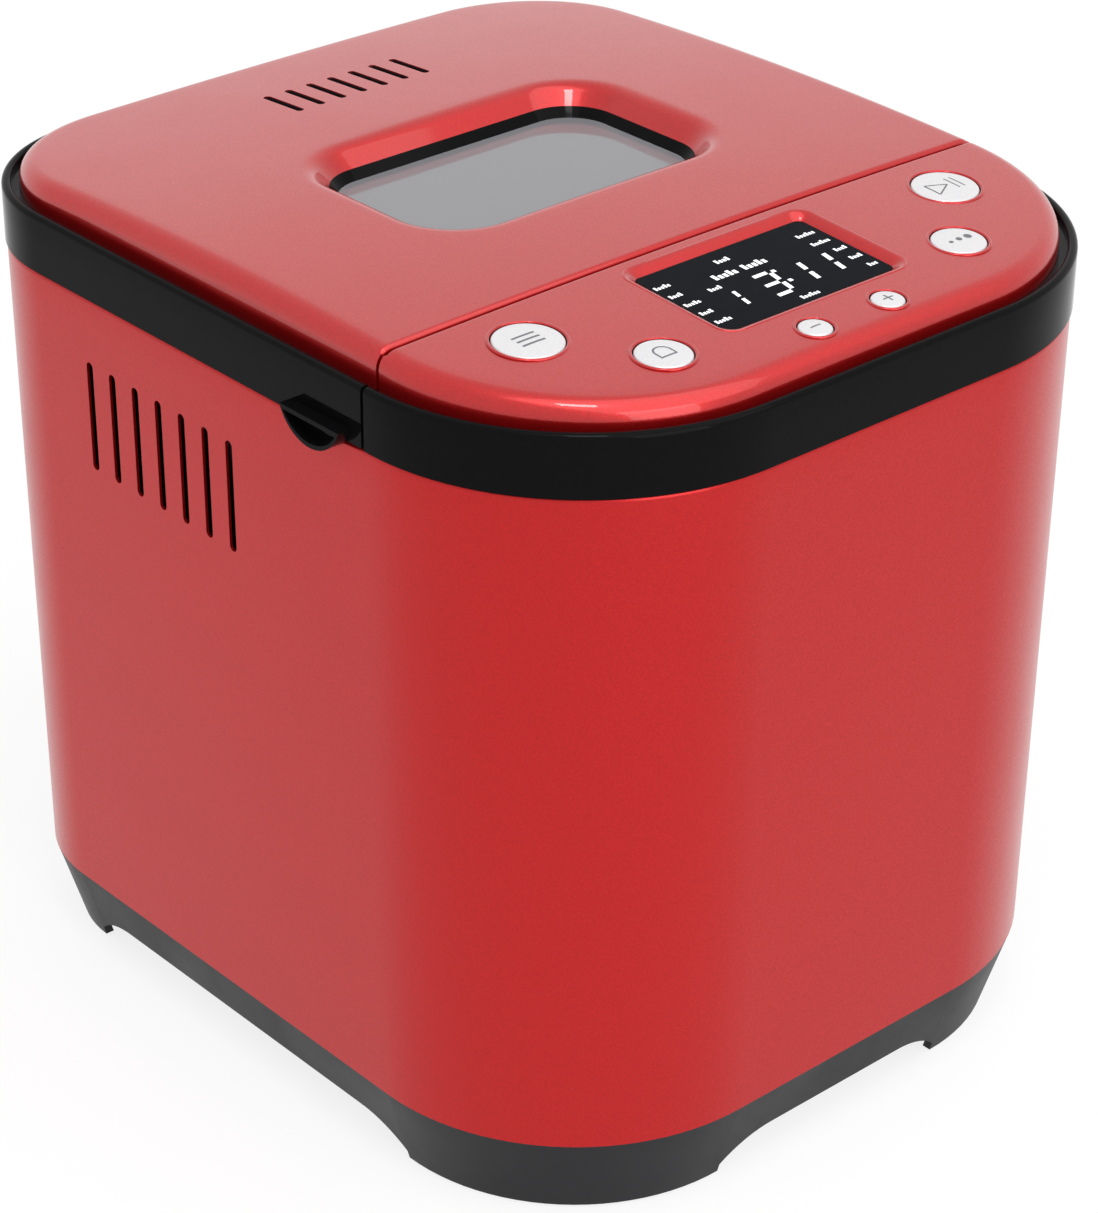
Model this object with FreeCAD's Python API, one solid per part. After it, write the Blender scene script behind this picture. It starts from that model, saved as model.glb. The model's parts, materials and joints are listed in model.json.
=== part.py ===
import FreeCAD, Part
import math
import os

V = FreeCAD.Vector
X_AXIS = V(1, 0, 0)
Y_AXIS = V(0, 1, 0)
Z_AXIS = V(0, 0, 1)

# All sizes are in millimetres. The origin is on the floor under the middle of the body,
# the control panel faces -Y, the lid hinge is at +Y, and +Z is up.

# Body
body_width = 246.0
body_depth = 286.0
front_corner = 76.0
rear_corner = 51.0
base_top = 29.0
top_crest = 275.5
cap_rise = 11.5
band_height = 19.0
shell_wall = 1.0
shell_draft = 1.5
base_draft = 8.4
running_gap = 0.3
fit_gap = 0.05

# Crowned top: one arc front to back, a flatter one side to side
crown_depth_radius = 1640.0
crown_width_radius = 4600.0
cap_inset = 5.0
cap_wall = 2.0
cap_roll = 5.5
seam_from_front = 79.0
seam_gap = 0.8

# Black band under the cap, with a ledge that the cap stands on
band_proud = 0.6
band_wall = 3.0
ledge_drop = 7.0
ledge_sheet = 3.0
ledge_inset = 16.0
lid_rest_gap = 0.4

# Base skirt and feet
skirt_clear = 1.0
skirt_wall = 3.0
arch_height = 12.0
arch_step = 4.0
arch_run = 20.0
floor_wall = 2.5
foot_radius = 8.0
foot_inset = 24.0
foot_chamfer = 1.0

# Ventilation slots
side_slot_count = 7
side_slot_pitch = 11.4
side_slot_first = -1.5
side_slot_drop = 21.0
side_slot_length = 36.0
side_slot_width = 3.2
lid_slot_count = 7
lid_slot_pitch = 8.45
lid_slot_from_rear = 47.0
lid_slot_length = 19.0
lid_slot_width = 2.6

# Lid window
window_y = 15.5
window_mouth_x = 59.0
window_mouth_y = 38.0
window_mouth_corner = 22.0
window_slope = 5.0
window_depth = 7.0
window_bevel = 2.4
window_bevel_drop = 1.2
window_frame_wall = 2.0
bezel_height = 3.0
bezel_taper = 2.5
bezel_wall = 4.0
glass_thickness = 2.5
gasket_wall = 8.0

# Lid liner
liner_inset = 8.0
liner_sheet = 1.0
liner_dish_depth = 5.5
liner_dish_margin = 5.0

# Lid hinge
hinge_back = 6.0
hinge_rise = 6.5
hinge_pin_radius = 1.5
knuckle_radius = 3.2
knuckle_length = 6.0
knuckle_web = 4.0
knuckle_x = 55.0
hinge_notch_x = 97.0
hinge_notch_rise = 1.0
hinge_notch_depth = 12.0
hinge_clear_radius = 4.2
trough_radius = 7.3

# Thumb tab on the left of the lid
tab_from_seam = 18.0
tab_width = 26.0
tab_drop = 14.5
tab_depth = 9.0
tab_reach = 4.4
tab_wall = 1.4

# Control panel, in its own tilted frame under the crown
panel_from_front = 50.5
display_half_x = 33.0
display_half_y = 19.5
display_corner = 2.5
display_bevel = 3.2
display_depth = 2.0
lens_thickness = 1.3
lens_ledge = 2.0
display_frame_wall = 2.5
board_depth = 12.0
board_sheet = 1.6
board_gap = 1.0
large_button_radius = 10.3
medium_button_radius = 8.3
small_button_radius = 5.0
large_button_x = 82.3
large_button_from_front = 58.2
medium_button_x = 58.2
medium_button_from_front = 30.3
small_button_x = 14.3
small_button_from_front = 16.4
board_post_x = 72.0
board_post_from_seam = 10.0
board_post_run = 30.0
button_proud = 0.7
button_dome = 0.5
button_skirt = 3.2
button_flange = 1.2
button_flange_wall = 1.2
button_stem_radius = 2.0
button_travel = 1.0
switch_half = 3.0
switch_height = 3.3
button_rim = 1.0
button_rim_height = 0.4

# Oven chamber and deck
chamber_half_x = 90.0
chamber_from_front = 97.0
chamber_from_rear = 25.0
chamber_corner = 30.0
chamber_sheet = 1.0
chamber_floor = 61.0
chamber_flange = 6.0
deck_sheet = 4.5
deck_overhang = 1.5
cable_half_x = 60.0
cable_half_y = 22.0
cable_corner = 10.0
cable_from_front = 37.0

# Drive
frame_bottom = 46.0
frame_sheet = 2.0
frame_half_x = 82.0
frame_from_rear = 31.0
frame_inset = 8.0
post_radius = 5.0
post_x = 70.0
post_from_front = 73.0
post_from_rear = 48.0
standoff_x = 50.0
standoff_inset = 24.0
shaft_radius = 4.0
bush_radius = 9.0
bush_flange_radius = 16.0
bush_flange_wall = 3.0
bush_top = 70.0
shaft_bottom = 21.0
pulley_bottom = 26.0
pulley_height = 14.0
drive_pulley_radius = 36.0
motor_pulley_radius = 9.0
belt_thickness = 2.6
belt_width = 9.0
pulley_flange = 2.0
pulley_opening_count = 5
pulley_opening_radius = 7.0
nut_radius = 6.0
rib_count = 4
rib_depth = 1.0
motor_from_front = 47.0
motor_radius = 33.0
motor_flange_radius = 40.0
motor_mount_height = 4.0
motor_height = 66.0
motor_mount_count = 3
motor_mount_radius = 5.0
motor_flange_sheet = 3.0
motor_yoke_step = 4.0
motor_yoke_margin = 16.0
motor_window_count = 6
motor_window_radius = 4.0
motor_window_low = 6.0
motor_window_high = 13.0
motor_shaft_above = 8.0
motor_hole_radius = 12.0

# Drive coupling under the pan
coupling_hub_radius = 10.0
coupling_hub_height = 3.0
dog_length = 16.0
dog_half_width = 3.0
dog_height = 7.0
dog_gap = 1.0

# Bread pan
pan_floor = 88.0
pan_drop = 26.5
pan_wall = 1.6
pan_taper = 10.0
pan_top_margin_x = 14.0
pan_top_margin_y = 22.0
pan_corner = 20.0
pan_rim = 3.0
pan_ring_radius = 44.0
pan_ring_wall = 3.0
pan_bush_radius = 9.0
pan_bush_height = 8.0
handle_wire = 2.0
handle_bend = 4.4
handle_elbow = 14.0
pan_ear_reach = 2.0
handle_pivot_drop = 9.0
handle_eye_radius = 5.0
handle_margin = 16.0
paddle_hub_radius = 9.0
paddle_hub_height = 22.0
paddle_hub_cap = 3.0
paddle_reach = 38.0
paddle_blade_height = 24.0
paddle_blade_wall = 3.0

# Heater, sensor and electrics
heater_radius = 3.2
heater_z = 84.0
heater_margin = 9.0
heater_corner = 26.0
heater_lead_x = 15.0
heater_lead_out = 12.0
heater_lead_bend = 7.0
heater_clip_run = 30.0
heater_clip_half = 4.0
heater_clip_wall = 1.5
sensor_radius = 3.0
sensor_x = 45.0
sensor_z = 150.0
sensor_length = 26.0
grommet_x = 70.0
grommet_z = 52.0
grommet_radius = 7.0
grommet_bore = 4.0
lid_screw_inset = 12.0
lid_screw_from_seam = 24.0
lid_screw_middle = 20.0
lid_screw_from_rear = 68.0
lid_screw_length = 3.0
frame_screw_length = 10.0
screw_radius = 1.5
screw_head_radius = 3.0
screw_head_height = 1.8
capacitor_radius = 15.0
capacitor_height = 50.0
capacitor_x = 60.0
capacitor_roll = 2.0
board_x = 61.0
power_board_depth = 58.0
power_board_height = 70.0
transformer_size = (15.0, 30.0, 26.0)
transformer_rise = 14.0
relay_size = (11.0, 20.0, 16.0)
relay_rise = 46.0
choke_size = (11.4, 22.0, 20.0)
choke_rise = 20.0
clip_sheet = 1.2
clip_half_width = 8.0
clip_height = 14.0
clip_toe = 12.0

half_width = body_width / 2
half_depth = body_depth / 2
band_top = top_crest - cap_rise
shell_top = band_top - band_height
ledge_top = band_top - ledge_drop
ledge_bottom = ledge_top - ledge_sheet
window_floor = top_crest - window_depth
side_slot_top = shell_top - side_slot_drop
side_slot_bottom = side_slot_top - side_slot_length
lid_slot_middle = half_depth - lid_slot_from_rear
seam_y = seam_from_front - half_depth
panel_y = panel_from_front - half_depth
tab_middle = seam_y + tab_from_seam
tab_top = band_top - tab_drop
tab_bottom = tab_top - tab_depth
hinge_y = half_depth - hinge_back
hinge_z = shell_top + hinge_rise
hinge_notch_z = hinge_z + hinge_notch_rise
deck_bottom = shell_top - deck_sheet
cable_y = cable_from_front - half_depth
chamber_front = chamber_from_front - half_depth
chamber_rear = half_depth - chamber_from_rear
chamber_y = (chamber_front + chamber_rear) / 2
chamber_half_y = (chamber_rear - chamber_front) / 2
frame_back = half_depth - frame_from_rear
post_front = post_from_front - half_depth
post_back = half_depth - post_from_rear
standoff_y = chamber_half_y - standoff_inset
motor_y = motor_from_front - half_depth
pan_top = deck_bottom - pan_drop
pan_top_half_x = chamber_half_x - pan_top_margin_x
pan_top_half_y = chamber_half_y - pan_top_margin_y
pan_bottom_half_x = pan_top_half_x - pan_taper
pan_bottom_half_y = pan_top_half_y - pan_taper
handle_pivot_z = pan_top - handle_pivot_drop
handle_drop = chamber_half_y - handle_margin
board_inset = ledge_inset + board_gap
shell_foot_inset = shell_draft
frame_top = frame_bottom + frame_sheet
far = 2 * body_depth


def rounded_outline(x, y, half_x, half_y, front, rear, z):
    """Closed outline of a rectangle whose front and rear corners have their own radii."""
    corners = ((-1, -1, front), (1, -1, front), (1, 1, rear), (-1, 1, rear))
    edges = []
    last = None
    first = None
    for side, end, radius in corners:
        middle = V(x + side * (half_x - radius), y + end * (half_y - radius), z)
        along_x = V(0, end * radius, 0)
        along_y = V(side * radius, 0, 0)
        start, stop = (along_y, along_x) if side * end > 0 else (along_x, along_y)
        bulge = V(side, end, 0) * (radius / math.sqrt(2))
        if last is not None:
            edges.append(Part.makeLine(last, middle + start))
        else:
            first = middle + start
        edges.append(Part.Arc(middle + start, middle + bulge, middle + stop).toShape())
        last = middle + stop
    edges.append(Part.makeLine(last, first))
    return Part.Wire(edges)


def body_outline(inset, z):
    """Plan outline of the body, drawn in by inset."""
    return rounded_outline(0, 0, half_width - inset, half_depth - inset,
                           front_corner - inset, rear_corner - inset, z)


def lift(wire, height):
    return Part.Face(wire).extrude(V(0, 0, height))


def slab(inset, low, high):
    return lift(body_outline(inset, low), high - low)


def body_ring(outer, inner, low, high):
    return slab(outer, low, high).cut(slab(inner, low - 1, high + 1))


def drafted(inset_low, inset_high, low, high):
    """Solid between two body outlines, one above the other."""
    return Part.makeLoft([body_outline(inset_low, low), body_outline(inset_high, high)], True, True)


def block(half_x, half_y, corner, low, high, x=0.0, y=0.0):
    return lift(rounded_outline(x, y, half_x, half_y, corner, corner, low), high - low)


def funnel(half_x, half_y, corner, low, spread, high, x, y):
    """Rounded block that widens by spread from low to high."""
    small = rounded_outline(x, y, half_x, half_y, corner, corner, low)
    large = rounded_outline(x, y, half_x + spread, half_y + spread, corner + spread, corner + spread, high)
    return Part.makeLoft([small, large], True, True)


def rod(radius, low, high, x=0.0, y=0.0):
    return Part.makeCylinder(radius, high - low, V(x, y, low))


def cross_rod(radius, start, stop, y, z):
    return Part.makeCylinder(radius, stop - start, V(start, y, z), X_AXIS)


def deep_rod(radius, start, stop, x, z):
    return Part.makeCylinder(radius, stop - start, V(x, start, z), Y_AXIS)


def box(low, high):
    return Part.makeBox(high[0] - low[0], high[1] - low[1], high[2] - low[2], V(*low))


def union(shapes):
    shapes = list(shapes)
    return shapes[0].fuse(shapes[1:]).removeSplitter() if len(shapes) > 1 else shapes[0]


def group(shapes):
    return Part.makeCompound(list(shapes))


def turned(points, x=0.0, y=0.0):
    """Solid of revolution about a vertical axis, from (radius, height) points."""
    corners = [V(x + radius, y, height) for radius, height in points]
    face = Part.Face(Part.makePolygon(corners + corners[:1]))
    return face.revolve(V(x, y, 0), Z_AXIS, 360)


def crown_height(y, x=0.0):
    """Height of the crowned top above a plan point."""
    depth_drop = crown_depth_radius - math.sqrt(crown_depth_radius ** 2 - y * y)
    width_drop = crown_width_radius - math.sqrt(crown_width_radius ** 2 - x * x)
    return top_crest - depth_drop - width_drop


def below_crown(drop):
    """Everything under the crowned top, lowered by drop."""
    radius = crown_depth_radius - drop
    reach = body_depth
    crest = top_crest - drop
    edge = crest - radius + math.sqrt(radius ** 2 - reach ** 2)
    arc = Part.Arc(V(0, -reach, edge), V(0, 0, crest), V(0, reach, edge)).toShape()
    corners = [V(0, reach, edge), V(0, reach, 0), V(0, -reach, 0), V(0, -reach, edge)]
    face = Part.Face(Part.Wire([arc] + [Part.makeLine(a, b) for a, b in zip(corners, corners[1:])]))
    pivot = V(0, 0, top_crest - crown_width_radius)
    swing = math.degrees(math.asin(body_width / crown_width_radius))
    face.rotate(pivot, Y_AXIS, -swing)
    return face.revolve(pivot, Y_AXIS, 2 * swing)


def cap_solid(inset, drop, roll):
    """Crowned cap with a rolled edge, standing on the ledge."""
    solid = slab(inset, ledge_top, top_crest + 1).common(below_crown(drop))
    rim = [edge for edge in solid.Edges if edge.BoundBox.ZMin > ledge_top + 1]
    return solid.makeFillet(roll, rim)


def behind(y):
    return box((-far, y, -far), (far, far, far))


def before(y):
    return box((-far, -far, -far), (far, y, far))


def cap_half(keep, seam):
    """Hollow half of the cap, with a wall of its own along the seam."""
    toward = 1 if keep is behind else -1
    outer = cap_solid(cap_inset, 0, cap_roll).common(keep(seam))
    core = cap_solid(cap_inset + cap_wall, cap_wall, cap_roll - cap_wall)
    below = slab(cap_inset + cap_wall, ledge_top - 1, ledge_top)
    core = core.fuse(below).common(keep(seam + toward * cap_wall))
    return outer, core


def round_path(points, bends):
    """Wire of straight runs joined by tangent arcs, one bend radius for each inner point."""
    edges = []
    last = points[0]
    for before_point, corner, after_point, radius in zip(points, points[1:], points[2:], bends):
        to_last = (before_point - corner).normalize()
        to_next = (after_point - corner).normalize()
        half = to_last.getAngle(to_next) / 2
        cut = radius / math.tan(half)
        bisector = (to_last + to_next).normalize()
        start = corner + to_last * cut
        stop = corner + to_next * cut
        middle = corner + bisector * (radius / math.sin(half) - radius)
        edges.append(Part.makeLine(last, start))
        edges.append(Part.Arc(start, middle, stop).toShape())
        last = stop
    edges.append(Part.makeLine(last, points[-1]))
    return Part.Wire(edges)


def wire_form(points, bends, radius):
    """Round bar along a path of straight runs and arcs."""
    path = round_path(points, bends)
    start = (points[1] - points[0]).normalize()
    ring = Part.Wire(Part.Circle(points[0], start, radius).toShape())
    return path.makePipeShell([ring], True, False)


panel_tilt = math.degrees(math.asin(-panel_y / crown_depth_radius))
panel_place = FreeCAD.Placement(V(0, panel_y, crown_height(panel_y)), FreeCAD.Rotation(X_AXIS, panel_tilt))
panel_frame = panel_place.inverse()


def on_panel(shape):
    """Moves a shape from the panel's own frame to its place under the crown."""
    moved = shape.copy()
    moved.Placement = panel_place.multiply(moved.Placement)
    return moved


def panel_spot(x, y):
    """Panel coordinates of the crown above a plan point."""
    return panel_frame.multVec(V(x, y, crown_height(y, x)))


# Base

def base_inset(z):
    """Inset of the tapered skirt at a height."""
    return shell_foot_inset + base_draft * (base_top - z) / base_top


def arch(start, stop):
    """Side view of the clearance under a skirt: a short step at each foot, then a curved run."""
    step = V(start, 0, arch_step)
    rise = V(start + arch_run, 0, arch_height)
    bend = V(start + arch_run * 0.4, 0, arch_height - (arch_height - arch_step) * 0.3)
    fall = V(stop - arch_run, 0, arch_height)
    drop = V(stop, 0, arch_step)
    bend_back = V(stop - arch_run * 0.4, 0, bend.z)
    edges = [
        Part.makeLine(V(start, 0, -1), step),
        Part.Arc(step, bend, rise).toShape(),
        Part.makeLine(rise, fall),
        Part.Arc(fall, bend_back, drop).toShape(),
        Part.makeLine(drop, V(stop, 0, -1)),
        Part.makeLine(V(stop, 0, -1), V(start, 0, -1)),
    ]
    return Part.Face(Part.Wire(edges))


def skirt_arches():
    front = arch(front_corner - half_width, half_width - front_corner)
    front.translate(V(0, -far, 0))
    rear = arch(rear_corner - half_width, half_width - rear_corner)
    side = arch(front_corner - half_depth, half_depth - rear_corner)
    side.rotate(V(0, 0, 0), Z_AXIS, 90)
    side.translate(V(far, 0, 0))
    return [front.extrude(V(0, far, 0)), rear.extrude(V(0, far, 0)), side.extrude(V(-2 * far, 0, 0))]


post_spots = [(sx * post_x, y) for sx in (-1, 1) for y in (post_front, post_back)]
corner_share = 1 - math.sqrt(0.5)
foot_spots = []
for end, corner in ((-1, front_corner), (1, rear_corner)):
    in_from_corner = corner * corner_share + foot_inset
    for sx in (-1, 1):
        foot_spots.append((sx * (half_width - in_from_corner), end * (half_depth - in_from_corner)))


def make_base_tray():
    outer = drafted(base_inset(skirt_clear), shell_foot_inset, skirt_clear, base_top)
    inner = drafted(base_inset(0) + skirt_wall, shell_foot_inset + skirt_wall, 0, base_top)
    skirt = outer.cut(inner)
    plate_low = base_inset(arch_height) + skirt_wall / 2
    plate_high = base_inset(arch_height + floor_wall) + skirt_wall / 2
    plate = drafted(plate_low, plate_high, arch_height, arch_height + floor_wall)
    posts = [rod(post_radius, arch_height, frame_bottom, x, y) for x, y in post_spots]
    tray = union([skirt, plate] + posts)
    holes = [rod(screw_radius + fit_gap, frame_bottom - 12, frame_bottom + 1, x, y) for x, y in post_spots]
    return tray.cut(skirt_arches() + holes)


def make_rubber_feet():
    pads = []
    for x, y in foot_spots:
        pad = rod(foot_radius, 0, arch_height, x, y)
        low = [edge for edge in pad.Edges if edge.BoundBox.ZMax < 0.1]
        pads.append(pad.makeChamfer(foot_chamfer, low))
    return group(pads)


# Outer shell

def side_slots(reach):
    """Row of upright slots cut right through both side walls."""
    half = side_slot_width / 2
    slots = []
    for number in range(side_slot_count):
        y = side_slot_first + number * side_slot_pitch
        low = side_slot_bottom + half
        high = side_slot_top - half
        slots.append(box((-reach, y - half, low), (reach, y + half, high)))
        slots.append(cross_rod(half, -reach, reach, y, low))
        slots.append(cross_rod(half, -reach, reach, y, high))
    return slots


def make_outer_shell():
    outer = drafted(shell_foot_inset, 0, base_top, shell_top)
    inner = drafted(shell_foot_inset + shell_wall, shell_wall, base_top, shell_top)
    shell = outer.cut(inner)
    grommet_hole = deep_rod(grommet_radius + fit_gap, 0, far, grommet_x, grommet_z)
    return shell.cut(side_slots(body_width) + [grommet_hole])


def make_cord_grommet():
    rear = half_depth - shell_foot_inset * (shell_top - grommet_z) / (shell_top - base_top)
    body = deep_rod(grommet_radius, rear - 8, rear, grommet_x, grommet_z)
    flange = deep_rod(grommet_radius + 3, rear + running_gap, rear + 2, grommet_x, grommet_z)
    neck = deep_rod(grommet_radius, rear - 1, rear + 1, grommet_x, grommet_z)
    bore = deep_rod(grommet_bore, 0, far, grommet_x, grommet_z)
    return union([body, neck, flange]).cut(bore)


# Deck and front housing

knuckle_sides = (-1, 1)


def ear_span(side):
    """Ends along X of a deck ear, outside its lid knuckle."""
    start = knuckle_x + knuckle_length / 2 + running_gap
    stop = start + knuckle_length
    return (start, stop) if side > 0 else (-stop, -start)


def knuckle_span(side):
    middle = side * knuckle_x
    return middle - knuckle_length / 2, middle + knuckle_length / 2


def make_deck_frame():
    deck = slab(shell_wall + running_gap, deck_bottom, shell_top)
    mouth = block(chamber_half_x - deck_overhang, chamber_half_y - deck_overhang,
                  chamber_corner - deck_overhang, deck_bottom - 1, shell_top + 1, 0, chamber_y)
    cable_way = block(cable_half_x, cable_half_y, cable_corner, deck_bottom - 1, shell_top + 1, 0, cable_y)
    trough = cross_rod(trough_radius, -hinge_notch_x - 2, hinge_notch_x + 2, hinge_y, hinge_z)
    deck = deck.cut([mouth, cable_way, trough])
    ears = []
    for side in knuckle_sides:
        start, stop = ear_span(side)
        web = box((start, hinge_y - knuckle_radius - 2, deck_bottom + 1), (stop, hinge_y - 0.5, hinge_z))
        ears += [cross_rod(knuckle_radius, start, stop, hinge_y, hinge_z), web]
    deck = union([deck] + ears)
    reach = hinge_notch_x
    deck = deck.cut(cross_rod(hinge_pin_radius + fit_gap, -reach, reach, hinge_y, hinge_z))
    posts = [rod(post_radius, shell_top - 1, band_top, x, y) for x, y in board_posts]
    posts = [post.common(below_board()) for post in posts]
    return union([deck] + posts)


board_rows = (seam_y - board_post_from_seam, seam_y - board_post_from_seam - board_post_run)
board_posts = [(sx * board_post_x, y) for sx in (-1, 1) for y in board_rows]


def below_board():
    return on_panel(box((-far, -far, -far), (far, far, -board_depth - board_sheet)))


def make_panel_housing():
    front_edge = seam_y - seam_gap / 2
    band = body_ring(-band_proud, band_wall - band_proud, shell_top, band_top)
    ledge = body_ring(0, ledge_inset, ledge_bottom, ledge_top)
    housing = union([band, ledge]).common(before(front_edge))
    wall = slab(1.0, shell_top, ledge_top).common(before(front_edge)).common(behind(front_edge - cap_wall))
    return union([housing, wall])


def make_control_fascia():
    outer, core = cap_half(before, seam_y - seam_gap / 2)
    rims = []
    for _, radius, surface in buttons:
        rim_top = surface.z + button_rim_height
        rims.append(rod(radius + running_gap + button_rim, -cap_wall, rim_top, surface.x, surface.y))
    frame_half_x = display_half_x + display_bevel + display_frame_wall
    frame_half_y = display_half_y + display_bevel + display_frame_wall
    frame_low = -display_depth - lens_thickness - lens_ledge
    frame = block(frame_half_x, frame_half_y, display_corner + display_bevel, frame_low, -0.5)
    fascia = union([outer.cut(core), on_panel(frame)] + [on_panel(rim) for rim in rims])
    lens_x = display_half_x + running_gap
    lens_y = display_half_y + running_gap
    bevel_top = display_bevel * (display_depth + 1) / display_depth
    recess = funnel(lens_x, lens_y, display_corner, -display_depth, bevel_top, 1, 0, 0)
    pocket = block(lens_x, lens_y, display_corner, -display_depth - lens_thickness, -display_depth)
    through = block(lens_x - lens_ledge, lens_y - lens_ledge, 1, frame_low - 1, 0)
    holes = [rod(radius + running_gap, -20, 5, surface.x, surface.y) for _, radius, surface in buttons]
    return fascia.cut([on_panel(cut) for cut in [recess, pocket, through] + holes])


# Display, board and buttons

def make_display_lens():
    top = -display_depth
    return on_panel(block(display_half_x, display_half_y, display_corner, top - lens_thickness, top))


def make_display_module():
    top = -display_depth - lens_thickness - running_gap
    half_x = display_half_x - lens_ledge - running_gap
    half_y = display_half_y - lens_ledge - running_gap
    return on_panel(block(half_x, half_y, 1, -board_depth, top))


def make_control_board():
    plate = on_panel(box((-far, -far, -board_depth - board_sheet), (far, far, -board_depth)))
    plan = slab(board_inset, shell_top, top_crest).common(before(seam_y - cap_wall - 3))
    return plate.common(plan)


def make_tact_switches():
    bodies = []
    for _, _, surface in buttons:
        low = V(surface.x - switch_half, surface.y - switch_half, -board_depth)
        case = Part.makeBox(2 * switch_half, 2 * switch_half, switch_height - 0.8, low)
        tip = switch_height - board_depth
        plunger = rod(button_stem_radius - running_gap, -board_depth, tip, surface.x, surface.y)
        bodies.append(on_panel(union([case, plunger])))
    return group(bodies)


buttons = []
for label, side, radius, across, from_front in (
        ("menu_button", -1, large_button_radius, large_button_x, large_button_from_front),
        ("start_button", 1, large_button_radius, large_button_x, large_button_from_front),
        ("loaf_button", -1, medium_button_radius, medium_button_x, medium_button_from_front),
        ("color_button", 1, medium_button_radius, medium_button_x, medium_button_from_front),
        ("minus_button", -1, small_button_radius, small_button_x, small_button_from_front),
        ("plus_button", 1, small_button_radius, small_button_x, small_button_from_front)):
    buttons.append((label, radius, panel_spot(side * across, from_front - half_depth)))


def make_button(radius, surface):
    """Domed disc with a retaining flange under the panel and a stem over its switch."""
    top = surface.z + button_proud
    flange_top = surface.z - button_skirt
    flange_low = flange_top - button_flange_wall
    stem_low = -board_depth + switch_height + button_travel + running_gap
    dome_radius = (radius ** 2 + button_dome ** 2) / (2 * button_dome)
    profile = [V(0, 0, stem_low), V(button_stem_radius, 0, stem_low), V(button_stem_radius, 0, flange_low),
               V(radius + button_flange, 0, flange_low), V(radius + button_flange, 0, flange_top),
               V(radius, 0, flange_top), V(radius, 0, top - button_dome)]
    edges = [Part.makeLine(a, b) for a, b in zip(profile, profile[1:])]
    halfway = radius / 2
    shoulder = V(halfway, 0, top - dome_radius + math.sqrt(dome_radius ** 2 - halfway ** 2))
    edges.append(Part.Arc(profile[-1], shoulder, V(0, 0, top)).toShape())
    edges.append(Part.makeLine(V(0, 0, top), profile[0]))
    solid = Part.Face(Part.Wire(edges)).revolve(V(0, 0, 0), Z_AXIS, 360)
    solid.translate(V(surface.x, surface.y, 0))
    return on_panel(solid)


# Lid

lid_edge = seam_y + seam_gap / 2


def window_cut():
    depth = crown_height(window_y) - window_floor
    slope = window_slope / depth
    low = window_floor - 2
    high = top_crest + 2
    small_x = window_mouth_x - slope * (crown_height(window_y) - low)
    small_y = window_mouth_y - slope * (crown_height(window_y) - low)
    corner = window_mouth_corner - slope * (crown_height(window_y) - low)
    return funnel(small_x, small_y, corner, low, slope * (high - low), high, 0, window_y)


def window_bevel_cut():
    """Second, flatter slope that softens the window's mouth."""
    start = crown_height(window_y) - window_bevel_drop
    stop = top_crest + 2
    spread = window_bevel / window_bevel_drop * (stop - start)
    inset = window_slope * window_bevel_drop / (crown_height(window_y) - window_floor)
    return funnel(window_mouth_x - inset, window_mouth_y - inset, window_mouth_corner - inset,
                  start, spread, stop, 0, window_y)


def window_inner():
    """Half sizes and corner of the sloped opening at its foot."""
    return (window_mouth_x - window_slope, window_mouth_y - window_slope, window_mouth_corner - window_slope)


def make_lid_cover():
    outer, core = cap_half(behind, lid_edge)
    half_x, half_y, corner = window_inner()
    wall = window_frame_wall + window_slope + window_bevel
    rim = block(half_x + wall, half_y + wall, corner + wall, window_floor, top_crest, 0, window_y)
    rim = rim.common(outer)
    cover = union([outer.cut(core), rim]).cut([window_cut(), window_bevel_cut()])
    half = lid_slot_width / 2
    run = lid_slot_length / 2 - half
    slots = []
    for number in range(lid_slot_count):
        x = (number - (lid_slot_count - 1) / 2) * lid_slot_pitch
        slots.append(block(half, run + half, half * 0.99, window_floor, top_crest, x, lid_slot_middle))
    return cover.cut(slots)


def make_window_bezel():
    half_x, half_y, corner = window_inner()
    low = window_floor - bezel_height
    frame = block(half_x + bezel_wall, half_y + bezel_wall, corner + bezel_wall, low, window_floor,
                  0, window_y)
    opening = funnel(half_x - bezel_taper, half_y - bezel_taper, corner - bezel_taper, low, bezel_taper,
                     window_floor, 0, window_y)
    return frame.cut(opening)


glass_top = window_floor - bezel_height
glass_low = glass_top - glass_thickness


def make_lid_window():
    half_x, half_y, corner = window_inner()
    grow = bezel_wall - 1
    return block(half_x + grow, half_y + grow, corner + grow, glass_low, glass_top, 0, window_y)


liner_dish_floor = ledge_bottom - liner_sheet - liner_dish_depth


def liner_opening():
    half_x, half_y, corner = window_inner()
    grow = bezel_wall - 1 - gasket_wall
    return half_x + grow, half_y + grow, corner + grow


def make_window_gasket():
    half_x, half_y, corner = liner_opening()
    low = liner_dish_floor + liner_sheet
    outer = block(half_x + gasket_wall, half_y + gasket_wall, corner + gasket_wall, low, glass_low,
                  0, window_y)
    return outer.cut(block(half_x, half_y, corner, low - 1, glass_low + 1, 0, window_y))


lid_screw_rows = (seam_y + lid_screw_from_seam, lid_screw_middle, half_depth - lid_screw_from_rear)
lid_screw_spots = [(sx * (half_width - lid_screw_inset), y) for sx in (-1, 1) for y in lid_screw_rows]


def lid_screw_holes():
    return [rod(screw_radius + fit_gap, ledge_bottom - 3, ledge_top - 0.5, x, y) for x, y in lid_screw_spots]


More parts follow.
